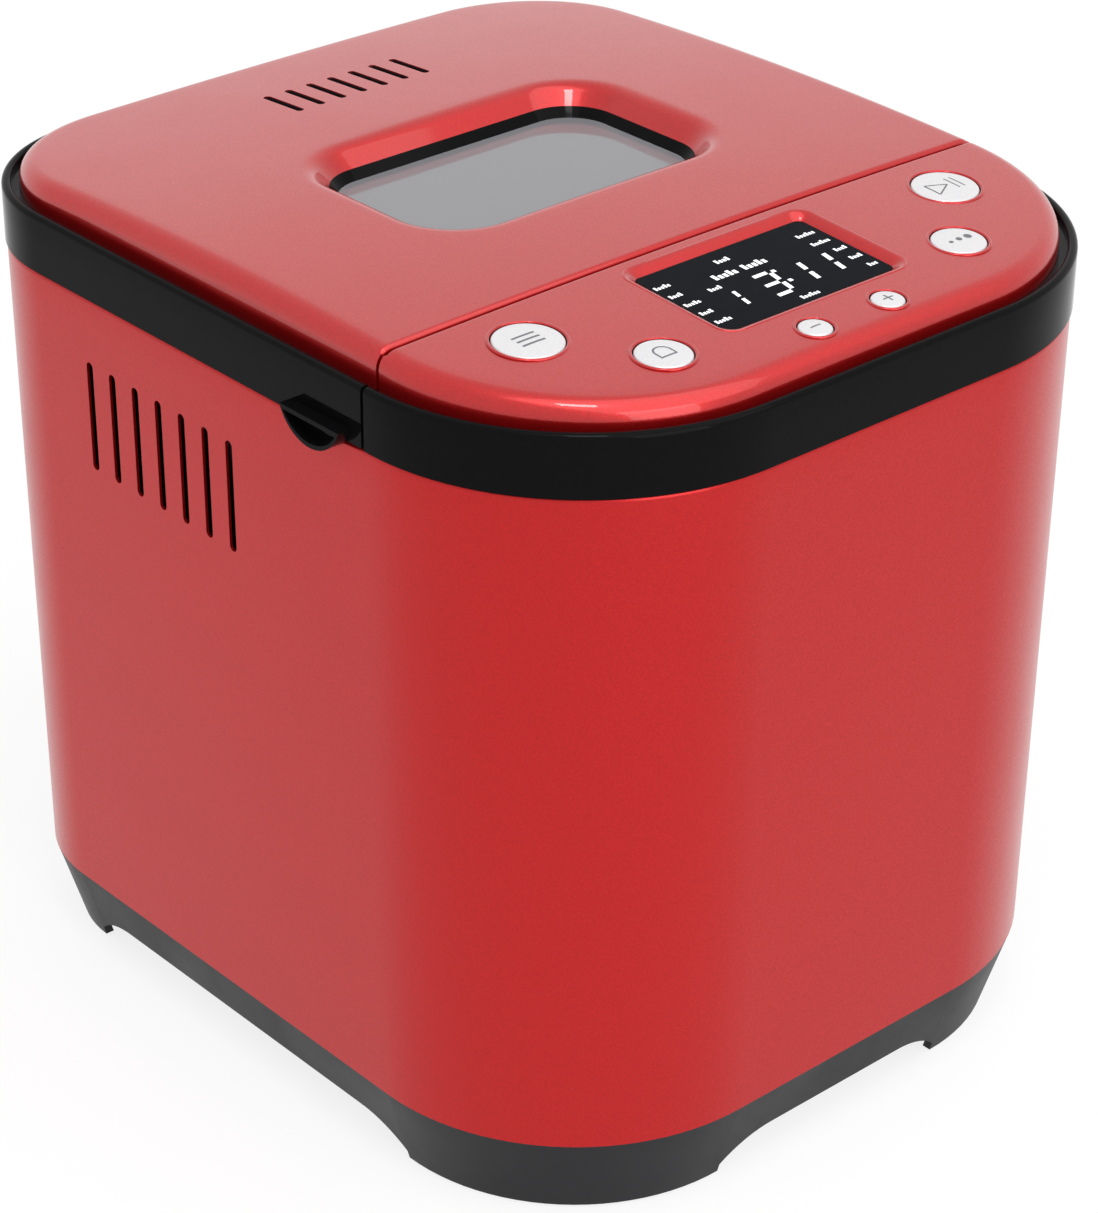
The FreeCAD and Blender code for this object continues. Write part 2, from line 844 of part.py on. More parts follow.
def make_lid_liner():
    top = ledge_bottom
    plate = slab(liner_inset, top - liner_sheet, top).common(behind(lid_edge + cap_wall + 1.6))
    plate = plate.common(before(hinge_y - knuckle_radius - knuckle_web - running_gap))
    dish_x = chamber_half_x - liner_dish_margin
    dish_y = chamber_half_y - liner_dish_margin
    corner = chamber_corner - liner_dish_margin
    dish = block(dish_x, dish_y, corner, liner_dish_floor, top, 0, chamber_y)
    hollow = block(dish_x - liner_sheet, dish_y - liner_sheet, corner - liner_sheet,
                   liner_dish_floor + liner_sheet, top + 1, 0, chamber_y)
    half_x, half_y, opening_corner = liner_opening()
    opening = block(half_x, half_y, opening_corner, liner_dish_floor - 1, top, 0, window_y)
    return union([plate, dish]).cut([hollow, opening] + lid_screw_holes())


def thumb_tab():
    """Half-moon scoop with a flat lip on top, open to the outside."""
    def moon(wall, start, stop):
        front = V(start, tab_middle - tab_width / 2 + wall, tab_top - wall)
        rear = V(start, tab_middle + tab_width / 2 - wall, tab_top - wall)
        low = V(start, tab_middle, tab_bottom + wall)
        edge = [Part.Arc(front, low, rear).toShape(), Part.makeLine(rear, front)]
        return Part.Face(Part.Wire(edge)).extrude(V(stop - start, 0, 0))
    inside = -half_width - band_proud
    outside = inside - tab_reach
    tab = moon(0, inside + 1, outside).cut(moon(tab_wall, inside - 0.8, outside - 1))
    return tab.cut(slab(-band_proud, 0, shell_top + lid_rest_gap))


def make_lid_band():
    low = shell_top + lid_rest_gap
    band = body_ring(-band_proud, band_wall - band_proud, low, band_top)
    ledge = body_ring(0, ledge_inset, ledge_bottom, ledge_top)
    wall = slab(1.0, low, ledge_top).common(before(lid_edge + cap_wall))
    lid = union([band, ledge, wall]).common(behind(lid_edge))
    notch = box((-hinge_notch_x, hinge_y - hinge_notch_depth, low - 1), (hinge_notch_x, far, hinge_notch_z))
    clear = cross_rod(hinge_clear_radius, -hinge_notch_x, hinge_notch_x, hinge_y, hinge_z)
    lid = lid.cut([notch, clear])
    knuckles = []
    for side in knuckle_sides:
        start, stop = knuckle_span(side)
        web = box((start, hinge_y - knuckle_radius - knuckle_web, hinge_z),
                  (stop, hinge_y - 0.5, ledge_bottom + 1))
        knuckles += [cross_rod(knuckle_radius, start, stop, hinge_y, hinge_z), web]
    lid = union([lid, thumb_tab()] + knuckles)
    pin_hole = cross_rod(hinge_pin_radius + fit_gap, -hinge_notch_x, hinge_notch_x, hinge_y, hinge_z)
    return lid.cut([pin_hole] + lid_screw_holes())


def make_hinge_pins():
    pins = []
    for side in knuckle_sides:
        low, high = sorted(list(knuckle_span(side)) + list(ear_span(side)))[0::3]
        pins.append(cross_rod(hinge_pin_radius, low - 0.5, high + 0.5, hinge_y, hinge_z))
    return group(pins)


def screw(x, y, seat, length, up):
    """Pan-head screw: head on one side of its seat, shank on the other."""
    if up:
        head = rod(screw_head_radius, seat - screw_head_height, seat, x, y)
        return head.fuse(rod(screw_radius, seat - 0.5, seat + length, x, y)).removeSplitter()
    head = rod(screw_head_radius, seat, seat + screw_head_height, x, y)
    return head.fuse(rod(screw_radius, seat - length, seat + 0.5, x, y)).removeSplitter()


def make_lid_screws():
    seat = ledge_bottom - liner_sheet
    return group(screw(x, y, seat, lid_screw_length, True) for x, y in lid_screw_spots)


# Oven chamber

heater_half_x = chamber_half_x - heater_margin
heater_half_y = chamber_half_y - heater_margin


def make_oven_chamber():
    tub = block(chamber_half_x, chamber_half_y, chamber_corner, chamber_floor, deck_bottom, 0, chamber_y)
    inner = chamber_corner - chamber_sheet
    hollow = block(chamber_half_x - chamber_sheet, chamber_half_y - chamber_sheet, inner,
                   chamber_floor + chamber_sheet, deck_bottom + 1, 0, chamber_y)
    flange = block(chamber_half_x + chamber_flange, chamber_half_y + chamber_flange,
                   chamber_corner + chamber_flange, deck_bottom - chamber_sheet, deck_bottom, 0, chamber_y)
    holes = [rod(bush_radius + running_gap, chamber_floor - 1, chamber_floor + 3, 0, chamber_y)]
    for side in (-1, 1):
        holes.append(deep_rod(heater_radius + running_gap, chamber_front - 2, chamber_front + 4,
                              side * heater_lead_x, heater_z))
    holes.append(deep_rod(sensor_radius + fit_gap, chamber_front - 2, chamber_front + 4, sensor_x, sensor_z))
    return union([tub, flange]).cut([hollow] + holes)


def make_heater():
    """Bent tube round the foot of the chamber, with both ends out through its front wall."""
    front = chamber_y - heater_half_y
    rear = chamber_y + heater_half_y
    out = chamber_front - heater_lead_out
    spots = [(-heater_lead_x, out), (-heater_lead_x, front), (-heater_half_x, front), (-heater_half_x, rear),
             (heater_half_x, rear), (heater_half_x, front), (heater_lead_x, front), (heater_lead_x, out)]
    points = [V(x, y, heater_z) for x, y in spots]
    bends = [heater_lead_bend] + [heater_corner] * 4 + [heater_lead_bend]
    return wire_form(points, bends, heater_radius)


def make_heater_clips():
    """Small stirrups from the chamber wall that hold the tube."""
    clips = []
    wall = chamber_half_x - chamber_sheet
    for side in (-1, 1):
        for y in (chamber_y - heater_clip_run, chamber_y + heater_clip_run):
            reach = heater_radius + heater_clip_wall
            start, stop = sorted((side * (heater_half_x - reach), side * wall))
            arm = box((start, y - heater_clip_half, heater_z - reach),
                      (stop, y + heater_clip_half, heater_z + reach))
            hole = deep_rod(heater_radius + fit_gap, -far, far, side * heater_half_x, heater_z)
            clips.append(arm.cut(hole))
    return group(clips)


def make_temperature_sensor():
    probe = deep_rod(sensor_radius, chamber_front - 4, chamber_front - 4 + sensor_length, sensor_x, sensor_z)
    flange = deep_rod(sensor_radius + 4, chamber_front - 2, chamber_front, sensor_x, sensor_z)
    return union([probe, flange])


standoff_spots = [(sx * standoff_x, chamber_y + sy * standoff_y) for sx in (-1, 1) for sy in (-1, 1)]


def make_chamber_standoffs():
    return group(rod(post_radius, frame_top, chamber_floor, x, y) for x, y in standoff_spots)


def make_pan_clips():
    """Two bent leaf springs on the chamber floor that grip the pan's ring."""
    clips = []
    floor = chamber_floor + chamber_sheet
    ring = pan_ring_radius + running_gap
    for side in (-1, 1):
        start, stop = sorted((side * ring, side * (ring + clip_sheet)))
        leaf = box((start, chamber_y - clip_half_width, floor),
                   (stop, chamber_y + clip_half_width, floor + clip_height))
        start, stop = sorted((side * ring, side * (ring + clip_toe)))
        toe = box((start, chamber_y - clip_half_width, floor),
                  (stop, chamber_y + clip_half_width, floor + clip_sheet))
        clips.append(union([leaf, toe]))
    return group(clips)


# Drive

def make_drive_frame():
    sheet = slab(frame_inset, frame_bottom, frame_top)
    sheet = sheet.common(box((-frame_half_x, -far, 0), (frame_half_x, frame_back, far)))
    holes = [rod(bush_radius + fit_gap, 0, far, 0, chamber_y), rod(motor_hole_radius, 0, far, 0, motor_y)]
    holes += [rod(screw_radius + fit_gap, 0, far, x, y) for x, y in post_spots]
    return sheet.cut(holes)


def make_frame_screws():
    return group(screw(x, y, frame_top, frame_screw_length, False) for x, y in post_spots)


def make_drive_bearing():
    bush = rod(bush_radius, frame_bottom - 2, bush_top, 0, chamber_y)
    flange = rod(bush_flange_radius, frame_top, frame_top + bush_flange_wall, 0, chamber_y)
    bore = rod(shaft_radius + fit_gap, 0, far, 0, chamber_y)
    return union([bush, flange]).cut(bore)


coupling_low = bush_top + running_gap
dog_low = coupling_low + coupling_hub_height


def make_drive_shaft():
    return rod(shaft_radius, shaft_bottom, coupling_low + 1, 0, chamber_y)


def ribbed_pulley(radius, y):
    """Pulley with shallow V grooves for a ribbed belt, a hub and a shaft hole."""
    low = pulley_bottom
    high = low + pulley_height
    pitch = belt_width / rib_count
    start = low + (pulley_height - belt_width) / 2
    profile = [(shaft_radius + fit_gap, low), (radius + pulley_flange, low),
               (radius + pulley_flange, start), (radius, start)]
    for number in range(rib_count):
        profile.append((radius - rib_depth, start + (number + 0.5) * pitch))
        profile.append((radius, start + (number + 1) * pitch))
    profile += [(radius + pulley_flange, start + belt_width), (radius + pulley_flange, high),
                (shaft_radius + fit_gap, high)]
    return turned(profile, 0, y)


def make_drive_pulley():
    pulley = ribbed_pulley(drive_pulley_radius, chamber_y)
    openings = []
    middle = (drive_pulley_radius + shaft_radius) / 2 + pulley_flange
    for number in range(pulley_opening_count):
        angle = 2 * math.pi * number / pulley_opening_count
        x = middle * math.cos(angle)
        y = chamber_y + middle * math.sin(angle)
        openings.append(rod(pulley_opening_radius, 0, far, x, y))
    return pulley.cut(openings)


def make_pulley_nut():
    low = shaft_bottom + 1
    ring = []
    for number in range(7):
        angle = math.radians(60 * number)
        ring.append(V(nut_radius * math.cos(angle), chamber_y + nut_radius * math.sin(angle), low))
    nut = Part.Face(Part.makePolygon(ring)).extrude(V(0, 0, pulley_bottom - low))
    return nut.cut(rod(shaft_radius + fit_gap, 0, far, 0, chamber_y))


def make_drive_coupling():
    hub = rod(coupling_hub_radius, coupling_low, dog_low, 0, chamber_y)
    hub = hub.cut(rod(shaft_radius + fit_gap, 0, coupling_low + 1, 0, chamber_y))
    dogs = box((-dog_length, chamber_y - dog_half_width, dog_low - 1),
               (dog_length, chamber_y + dog_half_width, dog_low + dog_height))
    return union([hub, dogs.cut(rod(shaft_radius + fit_gap, 0, coupling_low + 1, 0, chamber_y))])


def belt_loop(grow, low, high):
    """Flat loop round both pulleys: two arcs and the two straight runs between them."""
    big = drive_pulley_radius + grow
    small = motor_pulley_radius + grow
    distance = chamber_y - motor_y
    lean = math.asin((big - small) / distance)
    edges = []
    spots = {}
    for name, radius, y in (("big", big, chamber_y), ("small", small, motor_y)):
        side = radius * math.cos(lean)
        forward = radius * math.sin(lean)
        spots[name] = [V(-side, y - forward, low), V(side, y - forward, low)]
    top = V(0, chamber_y + big, low)
    bottom = V(0, motor_y - small, low)
    edges.append(Part.Arc(spots["big"][1], top, spots["big"][0]).toShape())
    edges.append(Part.makeLine(spots["big"][0], spots["small"][0]))
    edges.append(Part.Arc(spots["small"][0], bottom, spots["small"][1]).toShape())
    edges.append(Part.makeLine(spots["small"][1], spots["big"][1]))
    return lift(Part.Wire(edges), high - low)


def make_belt():
    low = pulley_bottom + (pulley_height - belt_width) / 2 + running_gap
    high = low + belt_width - 2 * running_gap
    return belt_loop(running_gap + belt_thickness, low, high).cut(belt_loop(running_gap, low - 1, high + 1))


motor_low = frame_top + motor_mount_height
motor_mount_ring = (motor_radius + motor_flange_radius) / 2 - 2


def mount_spots():
    spots = []
    for number in range(motor_mount_count):
        angle = math.radians(90 + 360 * number / motor_mount_count)
        spots.append((motor_mount_ring * math.cos(angle), motor_y + motor_mount_ring * math.sin(angle)))
    return spots


def make_motor_stator():
    """Motor can with a mounting flange, cooling windows and a bore for the shaft."""
    high = motor_low + motor_height
    can_radius = motor_radius - motor_yoke_step
    flange = rod(motor_flange_radius, motor_low, motor_low + motor_flange_sheet, 0, motor_y)
    can = rod(can_radius, motor_low, high, 0, motor_y)
    yoke = rod(motor_radius, motor_low + motor_yoke_margin, high - motor_yoke_margin, 0, motor_y)
    stator = union([flange, can, yoke]).cut(rod(shaft_radius + fit_gap, 0, far, 0, motor_y))
    windows = []
    for number in range(motor_window_count):
        angle = 2 * math.pi * (number + 0.5) / motor_window_count
        x = can_radius * math.cos(angle)
        y = motor_y + can_radius * math.sin(angle)
        low_end = motor_low + motor_window_low
        high_end = motor_low + motor_window_high
        windows.append(rod(motor_window_radius, low_end, high_end, x, y))
        windows.append(rod(motor_window_radius, high - motor_window_high, high - motor_window_low, x, y))
    return stator.cut(windows)


def make_motor_mounts():
    return group(rod(motor_mount_radius, frame_top, motor_low, x, y) for x, y in mount_spots())


def make_motor_shaft():
    return rod(shaft_radius, shaft_bottom, motor_low + motor_height + motor_shaft_above, 0, motor_y)


def make_motor_pulley():
    return ribbed_pulley(motor_pulley_radius, motor_y)


def make_capacitor():
    high = frame_top + capacitor_height
    can = rod(capacitor_radius, frame_top, high, -capacitor_x, motor_y)
    top = [edge for edge in can.Edges if edge.BoundBox.ZMin > high - capacitor_roll]
    return can.makeFillet(capacitor_roll, top)


def make_power_board():
    """Upright board with a transformer and a relay inboard and a choke outboard."""
    def component(size, rise, x):
        start, stop = sorted((x, x - size[0] if x == board_x else x + size[0]))
        return box((start, motor_y - size[1] / 2, frame_top + rise),
                   (stop, motor_y + size[1] / 2, frame_top + rise + size[2]))
    outboard = board_x + board_sheet
    plate = box((board_x, motor_y - power_board_depth / 2, frame_top),
                (outboard, motor_y + power_board_depth / 2, frame_top + power_board_height))
    transformer = component(transformer_size, transformer_rise, board_x)
    relay = component(relay_size, relay_rise, board_x)
    choke = component(choke_size, choke_rise, outboard)
    return union([plate, transformer, relay, choke])


# Bread pan and paddle

pan_ear_end = pan_top_half_x + pan_rim + pan_ear_reach


def pan_section(wall, z):
    """Outline of the tapered pan at a height, drawn in by wall."""
    share = (z - pan_floor) / (pan_top - pan_floor)
    half_x = pan_bottom_half_x + (pan_top_half_x - pan_bottom_half_x) * share - wall
    half_y = pan_bottom_half_y + (pan_top_half_y - pan_bottom_half_y) * share - wall
    return rounded_outline(0, chamber_y, half_x, half_y, pan_corner - wall, pan_corner - wall, z)


def pan_block(wall, low, high):
    return Part.makeLoft([pan_section(wall, low), pan_section(wall, high)], True, True)


def make_bread_pan():
    outer = pan_block(0, pan_floor, pan_top)
    rim = block(pan_top_half_x + pan_rim, pan_top_half_y + pan_rim, pan_corner + pan_rim,
                pan_top - 2, pan_top, 0, chamber_y)
    ears = []
    for side in (-1, 1):
        start, stop = sorted((side * (pan_top_half_x - 1), side * pan_ear_end))
        ears.append(cross_rod(handle_eye_radius, start, stop, chamber_y, handle_pivot_z))
    bush = rod(pan_bush_radius, pan_floor - 3, pan_floor + pan_bush_height, 0, chamber_y)
    hollow = pan_block(pan_wall, pan_floor + pan_wall, pan_top + 1)
    shell = union([outer, rim] + ears).cut(hollow)
    bores = [rod(shaft_radius + fit_gap, 0, pan_top, 0, chamber_y)]
    bores.append(cross_rod(handle_wire + fit_gap, -far, far, chamber_y, handle_pivot_z))
    return union([shell, bush]).cut(bores)


def make_pan_ring():
    low = chamber_floor + chamber_sheet + running_gap
    ring = rod(pan_ring_radius, low, pan_floor, 0, chamber_y)
    return ring.cut(rod(pan_ring_radius - pan_ring_wall, low - 1, pan_floor + 1, 0, chamber_y))


def make_pan_handle():
    """Wire bail, folded down over the front half of the pan's mouth."""
    tip = pan_ear_end + running_gap + handle_bend
    root = pan_top_half_x - pan_wall - 1
    rise = pan_top + handle_wire + 1
    front = chamber_y - handle_drop
    points = [V(-root, chamber_y, handle_pivot_z), V(-tip, chamber_y, handle_pivot_z),
              V(-tip, front, rise), V(tip, front, rise),
              V(tip, chamber_y, handle_pivot_z), V(root, chamber_y, handle_pivot_z)]
    return wire_form(points, [handle_bend, handle_elbow, handle_elbow, handle_bend], handle_wire)


pan_dog_low = dog_low + dog_gap
pan_disc_low = dog_low + dog_height + dog_gap


def make_pan_coupling():
    disc = rod(dog_length + 1, pan_disc_low, pan_disc_low + 2.5, 0, chamber_y)
    wings = []
    for side in (-1, 1):
        start, stop = sorted((side * (dog_half_width + 2.0), side * dog_length))
        wings.append(box((-dog_half_width, chamber_y + start, pan_dog_low),
                         (dog_half_width, chamber_y + stop, pan_disc_low + 1)))
    return union([disc] + wings).cut(rod(shaft_radius + fit_gap, pan_disc_low + 1, far, 0, chamber_y))


def make_paddle_shaft():
    top = pan_floor + pan_bush_height + paddle_hub_height - paddle_hub_cap
    return rod(shaft_radius, pan_disc_low + 1, top, 0, chamber_y)


def make_kneading_paddle():
    """Hub with one swept blade that tapers towards its tip."""
    low = pan_floor + pan_bush_height + running_gap
    hub = turned([(0, low), (paddle_hub_radius, low), (paddle_hub_radius - 2, low + paddle_hub_height),
                  (0, low + paddle_hub_height)], 0, chamber_y)
    bottom = low
    root = V(0, chamber_y, bottom)
    outline = [root + V(0, 0, 0), root + V(paddle_reach, 0, 0), root + V(paddle_reach, 0, 5),
               root + V(paddle_reach * 0.55, 0, paddle_blade_height), root + V(0, 0, paddle_hub_height - 2)]
    blade = Part.Face(Part.makePolygon(outline + outline[:1])).extrude(V(0, paddle_blade_wall, 0))
    blade.translate(V(0, -paddle_blade_wall / 2, 0))
    bore = rod(shaft_radius + fit_gap, 0, low + paddle_hub_height - paddle_hub_cap, 0, chamber_y)
    return union([hub, blade]).cut(bore)


pieces = {
    "base_tray": make_base_tray,
    "rubber_feet": make_rubber_feet,
    "outer_shell": make_outer_shell,
    "cord_grommet": make_cord_grommet,
    "deck_frame": make_deck_frame,
    "panel_housing": make_panel_housing,
    "control_fascia": make_control_fascia,
    "display_lens": make_display_lens,
    "display_module": make_display_module,
    "control_board": make_control_board,
    "tact_switches": make_tact_switches,
    "lid_cover": make_lid_cover,
    "lid_band": make_lid_band,
    "window_bezel": make_window_bezel,
    "lid_window": make_lid_window,
    "window_gasket": make_window_gasket,
    "lid_liner": make_lid_liner,
    "lid_screws": make_lid_screws,
    "hinge_pins": make_hinge_pins,
    "oven_chamber": make_oven_chamber,
    "heater": make_heater,
    "heater_clips": make_heater_clips,
    "temperature_sensor": make_temperature_sensor,
    "chamber_standoffs": make_chamber_standoffs,
    "pan_clips": make_pan_clips,
    "drive_frame": make_drive_frame,
    "frame_screws": make_frame_screws,
    "drive_bearing": make_drive_bearing,
    "drive_shaft": make_drive_shaft,
    "drive_pulley": make_drive_pulley,
    "pulley_nut": make_pulley_nut,
    "drive_coupling": make_drive_coupling,
    "drive_belt": make_belt,
    "motor_stator": make_motor_stator,
    "motor_mounts": make_motor_mounts,
    "motor_shaft": make_motor_shaft,
    "motor_pulley": make_motor_pulley,
    "capacitor": make_capacitor,
    "power_board": make_power_board,
    "bread_pan": make_bread_pan,
    "pan_ring": make_pan_ring,
    "pan_handle": make_pan_handle,
    "pan_coupling": make_pan_coupling,
    "paddle_shaft": make_paddle_shaft,
    "kneading_paddle": make_kneading_paddle,
}

os.makedirs("parts", exist_ok=True)
for node, make in pieces.items():
    make().exportStep(f"parts/{node}.step")
for label, radius, surface in buttons:
    make_button(radius, surface).exportStep(f"parts/{label}.step")
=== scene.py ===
import json
import math

import bmesh
import bpy
import numpy as np
from mathutils import Matrix, Vector


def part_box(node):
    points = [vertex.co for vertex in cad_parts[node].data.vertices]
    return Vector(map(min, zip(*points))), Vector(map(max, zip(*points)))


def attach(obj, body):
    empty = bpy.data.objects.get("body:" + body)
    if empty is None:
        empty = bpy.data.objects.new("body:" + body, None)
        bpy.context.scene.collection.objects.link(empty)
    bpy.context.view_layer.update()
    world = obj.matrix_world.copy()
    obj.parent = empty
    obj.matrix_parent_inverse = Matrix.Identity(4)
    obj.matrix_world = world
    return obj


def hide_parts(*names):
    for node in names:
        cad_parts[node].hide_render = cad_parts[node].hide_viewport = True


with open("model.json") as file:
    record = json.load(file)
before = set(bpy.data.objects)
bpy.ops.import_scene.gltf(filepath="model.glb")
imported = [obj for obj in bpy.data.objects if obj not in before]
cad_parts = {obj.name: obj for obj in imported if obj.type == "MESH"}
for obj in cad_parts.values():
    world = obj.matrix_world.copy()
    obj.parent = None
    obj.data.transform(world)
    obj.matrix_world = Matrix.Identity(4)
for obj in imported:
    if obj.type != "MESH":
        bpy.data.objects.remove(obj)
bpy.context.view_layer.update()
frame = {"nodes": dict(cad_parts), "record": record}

# Red bread machine. Sizes are in metres, in the part's frame: front at -Y, lid hinge at +Y, floor at Z 0.
MM = 0.001
shell_low, shell_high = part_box("outer_shell")
half_width = shell_high.x
half_depth = shell_high.y
base_top = shell_low.z
shell_top = shell_high.z
front_corner = 76 * MM
rear_corner = 51 * MM
shell_draft = 1.5 * MM
shell_wall = 1.0 * MM
shell_lip = 1.5 * MM
side_slot_length = 36 * MM
side_slot_width = 3.2 * MM
side_slot_first = -1.5 * MM
side_slot_pitch = 11.4 * MM
side_slot_count = 7
side_slot_z = 206 * MM
lead_hole_radius = 7.05 * MM
lead_hole_x = 70 * MM
lead_hole_z = 52 * MM
shell_rows = 25
lip_rows = 6
circle_steps = 40
cut_past = 20 * MM

cover_low, cover_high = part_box("lid_cover")
band_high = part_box("lid_band")[1]
fascia_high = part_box("control_fascia")[1]
band_top = band_high.z
band_proud = band_high.x - half_width
band_wall = 3 * MM
lid_rest_gap = 0.4 * MM
cap_foot = cover_low.z
cap_inset = half_width - cover_high.x
cap_wall = 2 * MM
cap_roll = 5.5 * MM
seam_roll = 1.6 * MM
seam_cuts = (0.04, 0.14, 0.3, 0.5, 0.7, 0.86, 1.0, 1.3)
seam_ease = 0.2 * MM
wall_share = 0.9995
lid_edge = cover_low.y + seam_ease
fascia_edge = fascia_high.y - seam_ease
top_crest = 275.5 * MM
crown_depth_radius = 1640 * MM
crown_width_radius = 4600 * MM
slope_rows = 3
mouth_rows = 10
crown_rows = 26
rim_rows = 12
crisp_angle = 35
cap_crisp_angle = 40

window_y = 15.5 * MM
window_half = (59 * MM, 38 * MM)
window_corner = 22 * MM
window_slope = 5 * MM
window_roll = 3.5 * MM
roll_share = 0.4
window_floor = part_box("window_bezel")[1].z

lid_slot_y = 96 * MM
lid_slot_length = 19 * MM
lid_slot_width = 2.6 * MM
lid_slot_pitch = 8.45 * MM
lid_slot_count = 7
lid_slots = [(number - (lid_slot_count - 1) / 2) * lid_slot_pitch for number in range(lid_slot_count)]
lid_cut_low = 262 * MM
lid_cut_height = 30 * MM
# Painted shade linings in the lid's slots: sink below the crown and sheet thickness
shade_lining_sink = 0.4 * MM
shade_lining_sheet = 0.15 * MM
# Painted shade plate under the lid's slots: half size, gap under the cap and sheet thickness
shade_plate_half = (32 * MM, 12 * MM)
shade_plate_gap = 0.2 * MM
shade_plate_sheet = 1.0 * MM

panel_y = -92.5 * MM
display_half = (33 * MM, 19.5 * MM)
display_corner = 2.5 * MM
display_bevel = 3.2 * MM
display_depth = 2 * MM
mouth_roll = 0.9 * MM
mouth_drop = 0.55 * MM
mouth_ease = 0.8 * MM
mouth_lift = 0.01 * MM
panel_cut = 8 * MM
# Display frame below its mouth: growth of the window's outline and drop from the panel
frame_section = [
    (0.3 * MM, display_depth - 0.1 * MM),
    (0.05 * MM, display_depth + 0.4 * MM),
    (display_bevel, display_depth + 0.6 * MM),
    (display_bevel + 0.85 * MM, 0.6 * MM),
]
button_gap = 0.3 * MM
button_proud = 0.7 * MM
button_dome = 0.5 * MM
button_edge = 0.7 * MM
button_skirt = 3.2 * MM
button_steps = 96
rim_width = 1.1 * MM
rim_height = 0.45 * MM
rim_sink = 0.02 * MM
rim_foot = 0.4 * MM
ink_lift = 0.03 * MM
far = 500 * MM

# Finishes, as linear colours
RED = (0.53, 0.008, 0.009, 1)
RED_DEEP = (0.40, 0.005, 0.006, 1)
BLACK = (0.003, 0.003, 0.0034, 1)
BLACK_SATIN = (0.008, 0.008, 0.010, 1)
SILVER = (0.58, 0.57, 0.58, 1)
SILVER_PALE = (0.66, 0.65, 0.66, 1)
INK = (0.10, 0.10, 0.11, 1)
DISPLAY_BLACK = (0.002, 0.003, 0.005, 1)


# Plan outlines

def plan(half_x, half_y, front, rear, arc_steps=28, run_steps=44, middle=(0.0, 0.0)):
    """Rounded rectangle walked anticlockwise: quarter circles of angle a at centre + radius * (cos a, sin a),
    joined by straight runs. Returns the points and their outward normals."""
    turns = ((0, 1, 1, rear), (90, -1, 1, rear), (180, -1, -1, front), (270, 1, -1, front))
    arcs = []
    for start, side, end, radius in turns:
        angle = np.radians(start + np.linspace(0, 90, arc_steps))
        normal = np.stack([np.cos(angle), np.sin(angle)], 1)
        centre = np.array([middle[0] + side * (half_x - radius), middle[1] + end * (half_y - radius)])
        arcs.append((centre + radius * normal, normal))
    points, normals = [], []
    for (spots, normal), (ahead, _) in zip(arcs, arcs[1:] + arcs[:1]):
        share = np.linspace(0, 1, run_steps + 2)[1:-1, None]
        points += [spots, spots[-1] + share * (ahead[0] - spots[-1])]
        normals += [normal, np.repeat(normal[-1:], run_steps, 0)]
    return np.concatenate(points), np.concatenate(normals)


body_points, body_normals = plan(half_width, half_depth, front_corner, rear_corner)


def body_at(inset):
    """Body outline drawn in by inset along its normals; inset may be one number or one for each point."""
    return body_points - np.reshape(inset, (-1, 1)) * body_normals


def crown(xy):
    """Height of the crowned top: crest less the sagittas of the two crown arcs."""
    deep = crown_depth_radius - np.sqrt(crown_depth_radius ** 2 - xy[:, 1] ** 2)
    wide = crown_width_radius - np.sqrt(crown_width_radius ** 2 - xy[:, 0] ** 2)
    return top_crest - deep - wide


def station(xy, z):
    """One ring of a surface: plan points with their heights."""
    return np.column_stack([xy, np.broadcast_to(z, len(xy))])


# Meshes

def linked(name, data):
    """New object in the scene that holds this data."""
    holder = bpy.data.objects.new(name, data)
    bpy.context.scene.collection.objects.link(holder)
    return holder


def mesh_object(name, points, faces, smooth_angle=crisp_angle):
    """Mesh from points and faces, with outward normals and edges sharper than smooth_angle kept crisp."""
    mesh = bpy.data.meshes.new(name)
    mesh.from_pydata(points, [], faces)
    shape = bmesh.new()
    shape.from_mesh(mesh)
    bmesh.ops.remove_doubles(shape, verts=shape.verts, dist=1e-7)
    bmesh.ops.recalc_face_normals(shape, faces=shape.faces)
    shape.to_mesh(mesh)
    shape.free()
    piece = linked(name, mesh)
    soften(piece, smooth_angle)
    return piece


def soften(piece, smooth_angle):
    """Shades a piece smooth, with edges sharper than smooth_angle in degrees kept crisp."""
    mesh = piece.data
    mesh.polygons.foreach_set("use_smooth", np.ones(len(mesh.polygons), bool))
    mesh.set_sharp_from_angle(angle=math.radians(smooth_angle))


def grid_faces(rows, columns, wrap_rows, wrap_columns, offset=0):
    """Quads between neighbouring rows and columns of a grid of points."""
    row = np.arange(rows if wrap_rows else rows - 1)[:, None]
    column = np.arange(columns if wrap_columns else columns - 1)[None, :]
    below = (row + 1) % rows
    beside = (column + 1) % columns
    quads = np.stack([row * columns + column, row * columns + beside,
                      below * columns + beside, below * columns + column], -1)
    return (quads.reshape(-1, 4) + offset).tolist()


def ring_surface(name, stations, smooth_angle=crisp_angle):
    """Closed skin: rings of plan points, the last ring joined back to the first."""
    grid = np.stack(stations)
    rows, columns = grid.shape[:2]
    return mesh_object(name, grid.reshape(-1, 3), grid_faces(rows, columns, True, True), smooth_angle)


def prism(name, outline, direction):
    """Closed bar: a flat outline of points carried along one direction, with both ends capped."""
    outline = np.asarray(outline, float)
    count = len(outline)
    points = np.concatenate([outline, outline + np.asarray(direction, float)])
    faces = grid_faces(2, count, False, True)
    faces += [list(range(count))[::-1], list(range(count, 2 * count))]
    return mesh_object(name, points, faces)


def turned(profile, steps=72):
    """Points and faces of a profile of (radius, height) turned about the local Z axis:
    x = r cos a, y = r sin a. A profile that starts or ends on the axis closes there."""
    profile = np.asarray(profile, float)
    angle = np.linspace(0, 2 * np.pi, steps, endpoint=False)
    ring = np.stack([np.cos(angle), np.sin(angle)], 1)
    points = np.concatenate([profile[:, None, :1] * ring[None], np.repeat(profile[:, None, 1:], steps, 1)], 2)
    return points.reshape(-1, 3), grid_faces(len(profile), steps, False, True)


